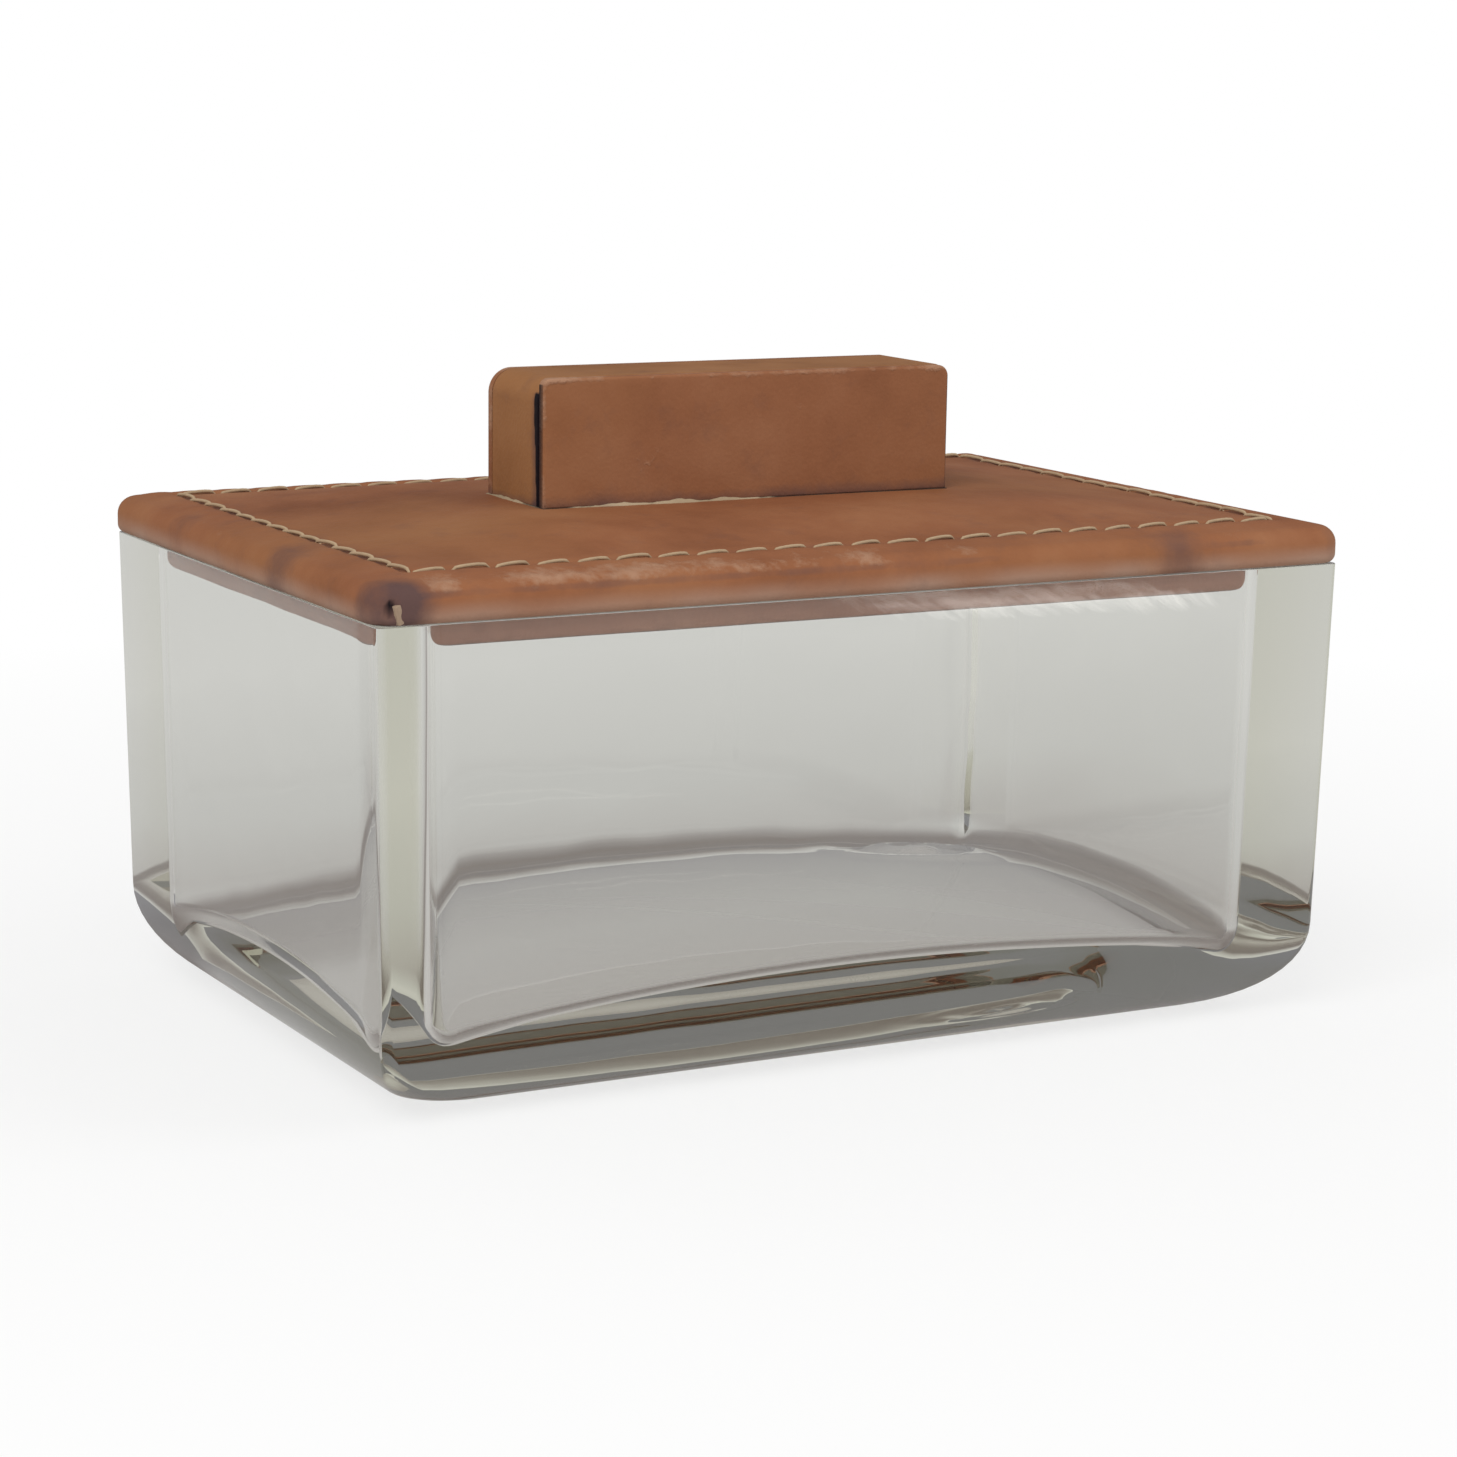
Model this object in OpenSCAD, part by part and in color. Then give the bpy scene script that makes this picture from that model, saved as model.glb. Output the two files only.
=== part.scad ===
// Thick pressed-glass box with a lift-off lid covered in saddle-stitched leather.
// Millimetres. The origin is the middle of the underside: +X along the front, +Y to the back, +Z up.
// The front of the box faces -Y. The lid lifts straight up and has no hinge.

/* [Glass tank] */
// Length of the tank at the rim
tank_w = 150; // [120:1:200]
// Depth of the tank at the rim, front to back
tank_d = 99.5; // [84:0.5:140]
// Height of the tank
tank_h = 67; // [45:1:110]
// Thickness of the walls at the rim
wall_t = 9; // [7:0.5:12]
// Taper of the outside of the walls, in degrees
outer_draft = 1; // [0:0.1:3]
// Taper of the inside of the walls, in degrees
inner_draft = 0.7; // [0:0.1:3]
// Rounding of the outer upright corners at the rim
corner_r = 1.4; // [0.6:0.1:6]
// Rounding of the heel, where the walls turn under to the foot
heel_r = 13.5; // [4:0.5:18]
// Glass under the inner corners of the cavity
base_t = 10; // [6:0.5:16]
// Rise of the cavity floor towards the middle of the long walls
floor_rise_w = 4; // [0:0.25:8]
// Rise of the cavity floor towards the middle of the short walls
floor_rise_d = 3.5; // [0:0.25:8]
// Rounding of the inner upright corners of the cavity
cavity_r = 4.5; // [3.8:0.1:10]
// Rounding between the cavity's walls and its floor
floor_r = 3.5; // [1:0.1:3.7]
// Fire-polished rounding of both edges of the rim
rim_r = 0.9; // [0.3:0.1:2]

/* [Lid] */
// How far the lid stands out past the glass on each side
lid_overhang = 0.75; // [0:0.05:2]
// Height of the lid above the rim along the stitching
lid_edge_h = 6; // [5.6:0.1:10]
// Rise of the padded middle of the lid above the stitching
lid_crown = 2.2; // [0.4:0.1:5]
// Fall of the border from the stitching to the top of the rounded edge
border_drop = 0.6; // [0:0.05:1.2]
// Rounding of the lid's upper edge
edge_top_r = 2.6; // [1.8:0.1:3]
// Rounding of the lid's lower edge
edge_under_r = 1.9; // [1.6:0.1:2.3]
// Rounding of the lid's four corners in plan
lid_corner_r = 4.3; // [3:0.1:7]
// Thickness of the leather on the lid
leather_t = 1.3; // [0.8:0.05:1.5]
// Width of the cover's margin turned in under the lid
turn_in = 5; // [3:0.25:6]

/* [Stitching] */
// Distance of the stitching from the lid's outer edge
stitch_inset = 8; // [7:0.1:10]
// Distance from one stitch to the next
stitch_pitch = 5.7; // [4:0.1:8]
// Thickness of the waxed thread
thread_d = 0.75; // [0.4:0.05:0.9]
// Depth of the creased channel that holds the thread on top of the lid
crease_depth = 0.4; // [0.2:0.05:0.6]
// Slant of each stitch to its row, in degrees
stitch_slant = 9; // [0:1:20]

/* [Plug under the lid] */
// Gap between the plug and the cavity's walls at the rim
plug_gap = 0.7; // [0.3:0.05:2]
// Reach of the plug below the rim
plug_drop = 4.2; // [3:0.1:8]
// Thickness of the leather on the plug
plug_leather_t = 1; // [0.6:0.05:1.3]
// Rounding of the plug's lower edge
plug_edge_r = 1.9; // [1.4:0.1:2.6]

/* [Handle] */
// Length of the handle
handle_l = 65.8; // [40:0.5:74]
// Thickness of the handle, front to back
handle_t = 19; // [10:0.5:22]
// Height of the handle above the lid
handle_h = 18.2; // [14:0.5:30]
// Rounding of the handle's two upper ends
handle_r = 4.1; // [2:0.1:7]
// Rounding of the front panel's two upper corners, cut squarer than the strip behind it
front_corner_r = 1.2; // [0.5:0.1:4]
// Thickness of the leather strip over the ends and top
wrap_t = 0.9; // [0.5:0.05:1.5]
// Thickness of the front and back panels
panel_t = 1.6; // [0.8:0.05:2.5]
// Open seam between the strip's edges and the panels
seam_gap = 0.5; // [0.1:0.05:0.8]

/* [Hidden] */

// Facets: steps in a corner in plan, points along a straight side, steps in a rounded edge
arc_steps = 6;
side_steps = 7;
edge_steps = 4;
heel_steps = 7;
// No corner in plan is rounded less than this, however far it is drawn in
least_r = 1.2;

// Colours
glass_colour = [0.80, 0.84, 0.78, 0.45];
leather_colour = [0.56, 0.35, 0.23];
lining_colour = [0.60, 0.42, 0.30];
wood_colour = [0.76, 0.62, 0.44];
thread_colour = [0.80, 0.71, 0.56];
steel_colour = [0.72, 0.72, 0.70];
brass_colour = [0.78, 0.66, 0.36];
glue_colour = [0.83, 0.77, 0.64];

// Tank
tank_hx = tank_w/2;
tank_hy = tank_d/2;
heel_spread_share = 0.7;
cavity_hx = tank_hx - wall_t;
cavity_hy = tank_hy - wall_t;
floor_hx = cavity_hx - tan(inner_draft)*(tank_h - base_t - floor_r) - floor_r;
floor_hy = cavity_hy - tan(inner_draft)*(tank_h - base_t - floor_r) - floor_r;
floor_ring_shares = [0.86, 0.70, 0.52, 0.34, 0.16];
floor_swirl_share = 0.7;

// Stitches: the leather between one slit and the next leaves this much clear between two stitches
stitch_break = 0.6;
stitch_l = stitch_pitch - stitch_break;
stitch_tip_share = 0.45;
// The creases are as wide as the slanted thread that lies in them
thread_play = 0.03;
crease_w = (stitch_l - 2*thread_d)*sin(stitch_slant) + thread_d*cos(stitch_slant) + 2*thread_play;
under_crease_depth = thread_d + 2*thread_play;

// Lid
lid_hx = tank_hx + lid_overhang;
lid_hy = tank_hy + lid_overhang;
edge_crest = lid_edge_h - border_drop;
edge_top_turn = 80;
border_ring_shares = [0.3, 0.65, 1];
stitch_hx = lid_hx - stitch_inset;
stitch_hy = lid_hy - stitch_inset;
crown_start_hx = stitch_hx - crease_w/2;
crown_start_hy = stitch_hy - crease_w/2;
crown_ring_shares = [0.95, 0.89, 0.82, 0.75, 0.68, 0.61];
crown_swirl_share = 0.4;
plateau_share = 0.55;
lid_top = tank_h + lid_edge_h + lid_crown;

// Plug
plug_hx = cavity_hx - plug_gap;
plug_hy = cavity_hy - plug_gap;
plug_corner_r = cavity_r - plug_gap/2;

// Handle
core_l = handle_l - 2*wrap_t;
core_t = handle_t - 2*panel_t;
core_h = handle_h - wrap_t;
core_r = handle_r - wrap_t;
strip_w = core_t - 2*seam_gap;
glue_w = 0.7;
glue_h = 0.45;

// Wood screws through the lid into the handle
screw_d = 3;
screw_head_d = 6;
screw_head_h = 1.7;
screw_l = 15;
screw_point_l = 3;
screw_slot_w = 0.7;
screw_slot_depth = 0.6;
screw_spread_share = 0.56;
screw_play = 0.05;

// Panel pins that hold the plug's board to the lid's board
pin_d = 1.2;
pin_head_d = 2.6;
pin_head_h = 0.4;
pin_bite = 2.2;
pin_x_share = 0.78;
pin_y_share = 0.70;
pin_play = 0.05;

round_fn = 48;
overrun = 0.5;

// Signs of x and y in the four quadrants, turning from +X to +Y
quadrant_x = [1, -1, -1, 1];
quadrant_y = [1, 1, -1, -1];

// Point on the corner arc of quadrant q, at angle a, of a rounded rectangle
function corner_point(hx, hy, r, q, a) =
    [quadrant_x[q]*(hx - r) + r*cos(a), quadrant_y[q]*(hy - r) + r*sin(a)];

// Outline of a rounded rectangle with half-sizes hx and hy, always with the same count of points
function rounded_rect(hx, hy, r) = [
    for (q = [0:3])
        let (last = corner_point(hx, hy, r, q, 90*(q + 1)),
             next = corner_point(hx, hy, r, (q + 1)%4, 90*(q + 1)))
        each [
            for (i = [0:arc_steps]) corner_point(hx, hy, r, q, 90*(q + i/arc_steps)),
            for (j = [1:side_steps]) last + (next - last)*j/(side_steps + 1)
        ]
];

// The outline at one height
function level(outline, z) = [for (p = outline) [p.x, p.y, z]];

// Smooth step from 0 to 1
function ease(t) = t <= 0 ? 0 : t >= 1 ? 1 : t*t*(3 - 2*t);

function reversed(list) = [for (i = [len(list) - 1:-1:0]) list[i]];

// Closed skin through rings of equal count round the z axis, the first ring facing down and the last
// facing up. Both ends close to a point on the axis, the first at foot or level with its ring.
// The first strips, as many as turned says, are split along their other diagonal, so that a lining
// whose rings run the other way has the same facets as the form that it fits.
module skin(rings, foot = undef, turned = 0) {
    n = len(rings[0]);
    m = len(rings);
    low = n*m;
    high = low + 1;
    points = [
        for (ring = rings) each ring,
        is_undef(foot) ? [0, 0, rings[0][0].z] : foot,
        [0, 0, rings[m - 1][0].z]
    ];
    sides = [
        for (i = [0:m - 2], j = [0:n - 1])
            let (a = i*n + j, b = i*n + (j + 1)%n, c = b + n, d = a + n)
            each i < turned ? [[a, d, b], [d, c, b]] : [[a, d, c], [a, c, b]]
    ];
    first = [for (j = [0:n - 1]) [j, (j + 1)%n, low]];
    last = [for (j = [0:n - 1]) [(m - 1)*n + j, high, (m - 1)*n + (j + 1)%n]];
    polyhedron(points, concat(first, sides, last));
}

// Outside of the tank at height z, drawn in by inset
function tank_ring(inset, z) =
    let (lean = tan(outer_draft)*(tank_h - z) + inset)
    level(rounded_rect(tank_hx - lean, tank_hy - lean, corner_r + heel_spread_share*inset), z);

// Outline of the cavity at height z, drawn in by inset
function cavity_outline(inset, z) =
    let (lean = tan(inner_draft)*(tank_h - z) + inset)
    rounded_rect(cavity_hx - lean, cavity_hy - lean, max(cavity_r - inset, least_r));

// Height of the cavity floor, a pillow that is lowest in the four corners
function floor_z(p) =
    base_t
    + floor_rise_w*(1 - pow(p.x/floor_hx, 2))
    + floor_rise_d*(1 - pow(p.y/floor_hy, 2));

// Outside of the tank: foot, heel, tapered walls and the outer rounding of the rim
module tank_block() {
    heel = [
        for (i = [0:heel_steps])
            let (a = 90*i/heel_steps)
            tank_ring(heel_r*(1 - sin(a)), heel_r*(1 - cos(a)))
    ];
    rim_outside = [
        for (i = [0:edge_steps])
            let (a = 90*i/edge_steps)
            tank_ring(rim_r*(1 - cos(a)), tank_h - rim_r*(1 - sin(a)))
    ];
    skin(concat(heel, rim_outside));
}

// Space inside the tank: pillowed floor, fillet, tapered walls and the flare that rounds the rim
module cavity() {
    floor_rings = [
        for (k = reversed(floor_ring_shares))
            let (r = k*(least_r + (1 - k)*floor_swirl_share*floor_hy))
            [for (p = rounded_rect(k*floor_hx, k*floor_hy, r)) [p.x, p.y, floor_z(p)]]
    ];
    fillet = [
        for (i = [0:edge_steps + 1])
            let (a = 90*i/(edge_steps + 1))
            [for (p = cavity_outline(floor_r*(1 - sin(a)), base_t + floor_r))
                [p.x, p.y, floor_z(p) + floor_r*(1 - cos(a))]]
    ];
    rim_inside = [
        for (i = [0:edge_steps])
            let (a = 90*i/edge_steps, z = tank_h - rim_r*(1 - sin(a)))
            level(cavity_outline(-rim_r*(1 - cos(a)), z), z)
    ];
    mouth = level(cavity_outline(-rim_r, tank_h), tank_h + overrun);
    skin(concat(floor_rings, fillet, rim_inside, [mouth]), foot = [0, 0, floor_z([0, 0])]);
}

// Pressed-glass tank
module glass_tank() {
    color(glass_colour)
        difference() {
            tank_block();
            cavity();
        }
}

// Outline of the lid drawn in by inset
function lid_outline(inset) =
    rounded_rect(lid_hx - inset, lid_hy - inset, max(lid_corner_r - inset, least_r));

// One ring of the lid: inset from its outer edge, height above the rim
function lid_ring(inset, z) = level(lid_outline(inset), tank_h + z);

// Rounded edge of the lid, from the underside up to the crest, at a depth t inside the leather
function edge_rings(t) = [
    for (i = [0:edge_steps])
        let (a = 90*i/edge_steps, r = edge_under_r - t)
        lid_ring(edge_under_r - r*sin(a), edge_under_r - r*cos(a)),
    for (i = [0:edge_steps])
        let (a = edge_top_turn*i/edge_steps, r = edge_top_r - t)
        lid_ring(edge_top_r - r*cos(a), edge_crest - edge_top_r + r*sin(a))
];

// Border that climbs from the rounded edge to the stitching
function border_rings(t) =
    let (reach = stitch_inset - crease_w/2 - edge_top_r)
    [for (u = border_ring_shares) lid_ring(edge_top_r + u*reach, edge_crest + border_drop*sin(90*u) - t)];

// Height of the padded middle above the stitching
function crown_z(p) =
    lid_crown
    * ease((1 - abs(p.x)/crown_start_hx)/(1 - plateau_share))
    * ease((1 - abs(p.y)/crown_start_hy)/(1 - plateau_share));

// Outline at a share k of the way out from the middle to the foot of the crown
function crown_outline(k) =
    let (r = k*(least_r + (1 - k)*crown_swirl_share*crown_start_hy))
    rounded_rect(k*crown_start_hx, k*crown_start_hy, r);

// Rings of the padded middle, from the stitching in to the level plateau under the handle
function crown_rings(t) = [
    lid_ring(stitch_inset + crease_w/2, lid_edge_h - t),
    for (k = crown_ring_shares)
        [for (p = crown_outline(k)) [p.x, p.y, tank_h + lid_edge_h - t + crown_z(p)]],
    level(crown_outline(plateau_share), lid_top - t)
];

// Where the two handle screws stand
module at_screws() {
    for (s = [-1, 1])
        translate([s*core_l/2*screw_spread_share, 0, 0])
            children();
}

// Where the four plug pins stand
module at_pins() {
    for (sx = [-1, 1], sy = [-1, 1])
        translate([sx*plug_hx*pin_x_share, sy*plug_hy*pin_y_share, 0])
            children();
}

// Outline of a countersunk wood screw or its hole, wider by play, head down on the z axis
module screw_body(play, length) {
    rotate_extrude($fn = round_fn)
        polygon([
            [0, 0],
            [screw_head_d/2 + play, 0],
            [screw_d/2 + play, screw_head_h],
            [screw_d/2 + play, length - screw_point_l],
            [play, length],
            [0, length]
        ]);
}

// Stiff board inside the lid, rounded and crowned like the leather over it
module lid_board() {
    color(wood_colour)
        difference() {
            skin(concat(edge_rings(leather_t), border_rings(leather_t), crown_rings(leather_t)));
            translate([0, 0, tank_h + leather_t])
                at_screws()
                    screw_body(screw_play, screw_l);
            at_pins()
                translate([0, 0, tank_h + leather_t - overrun])
                    cylinder(d = pin_d + 2*pin_play, h = pin_bite + pin_play + overrun, $fn = round_fn);
        }
}

// Leather over the lid, creased for the stitching and turned in under the edge
module lid_cover() {
    inside = reversed(concat(
        [lid_ring(turn_in, leather_t)],
        edge_rings(leather_t),
        border_rings(leather_t),
        crown_rings(leather_t)
    ));
    crease = [
        lid_ring(stitch_inset - crease_w/2, lid_edge_h - crease_depth),
        lid_ring(stitch_inset + crease_w/2, lid_edge_h - crease_depth)
    ];
    outside = concat(
        [lid_ring(turn_in, 0)],
        edge_rings(0),
        border_rings(0),
        crease,
        crown_rings(0)
    );
    color(leather_colour)
        difference() {
            skin(concat(inside, outside), turned = len(inside) - 1);
            translate([0, 0, lid_top - leather_t - overrun])
                at_screws()
                    cylinder(d = screw_d + 2*screw_play, h = leather_t + 2*overrun, $fn = round_fn);
        }
}

// Band around the lid, half as wide on each side of the stitching line as w
module stitch_band(w) {
    difference() {
        polygon(lid_outline(stitch_inset - w/2));
        polygon(lid_outline(stitch_inset + w/2));
    }
}

// Leather under the lid, inside the turned-in margin
module lid_lining() {
    color(lining_colour)
        translate([0, 0, tank_h])
            difference() {
                linear_extrude(leather_t)
                    polygon(lid_outline(turn_in));
                translate([0, 0, -overrun])
                    linear_extrude(under_crease_depth + overrun)
                        stitch_band(crease_w);
                at_pins()
                    translate([0, 0, -overrun])
                        cylinder(d = pin_d + 2*pin_play, h = leather_t + 2*overrun, $fn = round_fn);
            }
}

// One ring of the plug: inset from its side, height above the rim
function plug_ring(inset, z) =
    level(rounded_rect(plug_hx - inset, plug_hy - inset, max(plug_corner_r - inset, least_r)), tank_h + z);

// Rounded lower edge of the plug, at a depth t inside its leather
function plug_edge_rings(t) = [
    for (i = [0:edge_steps])
        let (a = 90*i/edge_steps, r = plug_edge_r - t)
        plug_ring(plug_edge_r - r*sin(a), plug_edge_r - plug_drop - r*cos(a))
];

// Board inside the plug
module plug_board() {
    color(wood_colour)
        difference() {
            skin(concat(plug_edge_rings(plug_leather_t), [plug_ring(plug_leather_t, 0)]));
            at_pins()
                translate([0, 0, tank_h - plug_drop + plug_leather_t]) {
                    translate([0, 0, -overrun])
                        cylinder(d = pin_d + 2*pin_play, h = plug_drop + 2*overrun, $fn = round_fn);
                    translate([0, 0, -overrun])
                        cylinder(d = pin_head_d + 2*pin_play, h = pin_head_h + pin_play + overrun,
                            $fn = round_fn);
                }
        }
}

// Leather tray stretched over the plug's board
module plug_cover() {
    color(leather_colour)
        skin(concat(
            plug_edge_rings(0),
            [plug_ring(0, 0), plug_ring(plug_leather_t, 0)],
            reversed(plug_edge_rings(plug_leather_t))
        ));
}

// Panel pins, heads sunk in the plug's board, points in the lid's board
module plug_pins() {
    pin_l = plug_drop - plug_leather_t + leather_t + pin_bite;
    color(brass_colour)
        at_pins()
            translate([0, 0, tank_h - plug_drop + plug_leather_t])
                rotate_extrude($fn = round_fn)
                    polygon([
                        [0, 0],
                        [pin_head_d/2, 0],
                        [pin_head_d/2, pin_head_h],
                        [pin_d/2, pin_head_h],
                        [pin_d/2, pin_l - pin_d],
                        [0, pin_l]
                    ]);
}

// One stitch along +X, drawn down at both ends where it enters the leather
module stitch() {
    rotate([0, 90, stitch_slant])
        rotate_extrude($fn = round_fn/2)
            polygon([
                [0, -stitch_l/2],
                [stitch_tip_share*thread_d/2, -stitch_l/2],
                [thread_d/2, -stitch_l/2 + thread_d],
                [thread_d/2, stitch_l/2 - thread_d],
                [stitch_tip_share*thread_d/2, stitch_l/2],
                [0, stitch_l/2]
            ]);
}

// Row of stitches along X over a given run, above and below the lid
module stitch_row(run) {
    count = floor(run/stitch_pitch);
    over_z = tank_h + lid_edge_h - crease_depth + thread_play + thread_d/2;
    under_z = tank_h + under_crease_depth - thread_play - thread_d/2;
    color(thread_colour)
        for (i = [0:count - 1], z = [over_z, under_z])
            translate([(i - (count - 1)/2)*run/count, 0, z])
                stitch();
}

module stitch_front() {
    translate([0, -stitch_hy, 0])
        stitch_row(2*stitch_hx);
}

module stitch_back() {
    translate([0, stitch_hy, 0])
        stitch_row(2*stitch_hx);
}

module stitch_left() {
    translate([-stitch_hx, 0, 0])
        rotate([0, 0, -90])
            stitch_row(2*stitch_hy);
}

module stitch_right() {
    translate([stitch_hx, 0, 0])
        rotate([0, 0, 90])
            stitch_row(2*stitch_hy);
}

// Upright profile of the handle: a block with its two upper ends rounded
module handle_profile(l, h, r) {
    translate([-l/2, 0])
        square([l, h - r]);
    translate([-l/2 + r, 0])
        square([l - 2*r, h]);
    for (s = [-1, 1])
        translate([s*(l/2 - r), h - r])
            circle(r, $fn = round_fn);
}

// Slab of that profile, thickness t, standing on the lid with its front face at y
module handle_slab(l, t, h, r, y) {
    translate([0, y + t, lid_top])
        rotate([90, 0, 0])
            linear_extrude(t)
                handle_profile(l, h, r);
}

// Wooden block inside the handle, bored for its screws
module handle_core() {
    color(wood_colour)
        difference() {
            handle_slab(core_l, core_t, core_h, core_r, -core_t/2);
            translate([0, 0, tank_h + leather_t])
                at_screws()
                    screw_body(screw_play, screw_l + screw_play);
        }
}

// Leather strip that runs up one end of the handle, over the top and down the other end, between the
// two panels
module handle_wrap() {
    color(leather_colour)
        difference() {
            handle_slab(handle_l, strip_w, handle_h, handle_r, -strip_w/2);
            translate([0, -strip_w/2 - overrun, lid_top - overrun])
                rotate([-90, 0, 0])
                    mirror([0, 1, 0])
                        linear_extrude(strip_w + 2*overrun)
                            handle_profile(core_l, core_h + overrun, core_r);
        }
}

// Leather panel over the whole of one broad face of the handle, with its upper corners rounded by r
module handle_panel(y, r) {
    color(leather_colour)
        handle_slab(handle_l, panel_t, handle_h, r, y);
}

module handle_front_panel() {
    handle_panel(-handle_t/2, front_corner_r);
}

module handle_back_panel() {
    handle_panel(handle_t/2 - panel_t, handle_r);
}

// Countersunk wood screws, slotted heads up against the lid's board from below
module handle_screws() {
    color(steel_colour)
        at_screws()
            translate([0, 0, tank_h + leather_t])
                difference() {
                    screw_body(0, screw_l);
                    translate([-screw_head_d/2, -screw_slot_w/2, -overrun])
                        cube([screw_head_d, screw_slot_w, screw_slot_depth + overrun]);
                }
}

// Squeezed-out glue and raw leather fibre around the foot of the handle
module handle_glue() {
    color(glue_colour)
        translate([0, 0, lid_top])
            linear_extrude(glue_h)
                difference() {
                    square([handle_l + 2*glue_w, handle_t + 2*glue_w], center = true);
                    square([handle_l, handle_t], center = true);
                }
}

glass_tank();
lid_board();
lid_cover();
lid_lining();
plug_board();
plug_cover();
plug_pins();
stitch_front();
stitch_back();
stitch_left();
stitch_right();
handle_core();
handle_wrap();
handle_front_panel();
handle_back_panel();
handle_screws();
handle_glue();
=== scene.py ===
import math
import random

import bmesh
import bpy
from mathutils import Euler, Matrix, Vector, noise


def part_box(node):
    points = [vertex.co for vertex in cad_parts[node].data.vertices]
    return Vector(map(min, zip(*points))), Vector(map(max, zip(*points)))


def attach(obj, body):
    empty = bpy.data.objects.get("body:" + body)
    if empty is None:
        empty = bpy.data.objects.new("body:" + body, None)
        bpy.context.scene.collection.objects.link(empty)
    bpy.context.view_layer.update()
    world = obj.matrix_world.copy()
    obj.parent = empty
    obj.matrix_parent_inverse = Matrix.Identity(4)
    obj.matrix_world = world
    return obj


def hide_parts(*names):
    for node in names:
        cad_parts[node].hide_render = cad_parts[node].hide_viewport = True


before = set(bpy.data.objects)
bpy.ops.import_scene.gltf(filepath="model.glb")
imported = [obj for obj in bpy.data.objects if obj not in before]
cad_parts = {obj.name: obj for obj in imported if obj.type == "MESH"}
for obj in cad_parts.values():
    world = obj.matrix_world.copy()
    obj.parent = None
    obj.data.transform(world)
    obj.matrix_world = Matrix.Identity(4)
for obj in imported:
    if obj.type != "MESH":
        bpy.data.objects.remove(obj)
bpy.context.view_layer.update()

# Glass box with a stitched leather lid, in metres. +X runs along the front, -Y is the front, +Z is up.

mm = 0.001
ringStep = 0.01  # rings are stacked this far apart while they are bridged
alongAxis = 0.99999  # an edge is along an axis from this share of its length


def cadSize(node):
    # The lowest corner and half the size of a node in the CAD
    low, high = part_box(node)
    return low, (high - low) / 2


# Helpers for modelling


def deselectAll():
    if bpy.context.mode != "OBJECT":
        bpy.ops.object.mode_set(mode="OBJECT")
    bpy.ops.object.select_all(action="DESELECT")


def pickOnly(piece):
    deselectAll()
    piece.select_set(True)
    bpy.context.view_layer.objects.active = piece


def applyModifier(piece, kind, settings):
    pickOnly(piece)
    bpy.ops.object.modifier_add(type=kind)
    added = piece.modifiers[-1]
    for key, value in settings.items():
        setattr(added, key, value)
    bpy.ops.object.modifier_apply(modifier=added.name)


def smoothFaces(piece, angle):
    pickOnly(piece)
    bpy.ops.object.shade_smooth_by_angle(angle=math.radians(angle))


def smoothByArea(piece):
    # Smooth all over, with each normal following the largest faces round it
    pickOnly(piece)
    bpy.ops.object.shade_smooth()
    applyModifier(piece, "WEIGHTED_NORMAL", {"weight": 90, "keep_sharp": True})


def editSelect(piece, wanted, kind="verts"):
    # Picks the verts, edges or faces that the test wants, in edit mode
    bpy.ops.mesh.select_mode(type={"verts": "VERT", "edges": "EDGE", "faces": "FACE"}[kind])
    bpy.ops.mesh.select_all(action="DESELECT")
    mesh = bmesh.from_edit_mesh(piece.data)
    picked = [part for part in getattr(mesh, kind) if wanted(part)]
    for part in picked:
        part.select_set(True)
    mesh.select_flush_mode()
    bmesh.update_edit_mesh(piece.data)
    return len(picked)


def straightAlong(edge, axis):
    way = (edge.verts[1].co - edge.verts[0].co).normalized()
    return abs(way[axis]) > alongAxis


def numberOf(piece):
    # The layer that holds each vert's ring number, 0 on a new vert
    layers = bmesh.from_edit_mesh(piece.data).verts.layers.int
    return layers.get("ring") or layers.new("ring")


def addRing(piece, number, ring, corners, cuts):
    # One rounded rectangle: a plane, its corners bevelled and its straight sides cut, without its face
    halfX, halfY, radius = ring[:3]
    bpy.ops.mesh.select_all(action="DESELECT")
    bpy.ops.mesh.primitive_plane_add(size=2)
    bpy.ops.transform.resize(value=(halfX, halfY, 1), center_override=(0, 0, 0))
    bpy.ops.transform.translate(value=(0, 0, number * ringStep))
    bpy.ops.mesh.bevel(offset=radius, segments=corners, affect="VERTICES", clamp_overlap=False)
    bpy.ops.mesh.delete(type="ONLY_FACE")
    for axis in (0, 1):
        editSelect(piece, lambda e: not e.link_faces and e.verts[0][numberOf(piece)] == 0
                   and straightAlong(e, axis), "edges")
        bpy.ops.mesh.subdivide(number_cuts=cuts[axis])
    mesh = bmesh.from_edit_mesh(piece.data)
    layer = numberOf(piece)
    for vert in mesh.verts:
        if vert[layer] == 0:
            vert[layer] = number
    bmesh.update_edit_mesh(piece.data)


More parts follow.
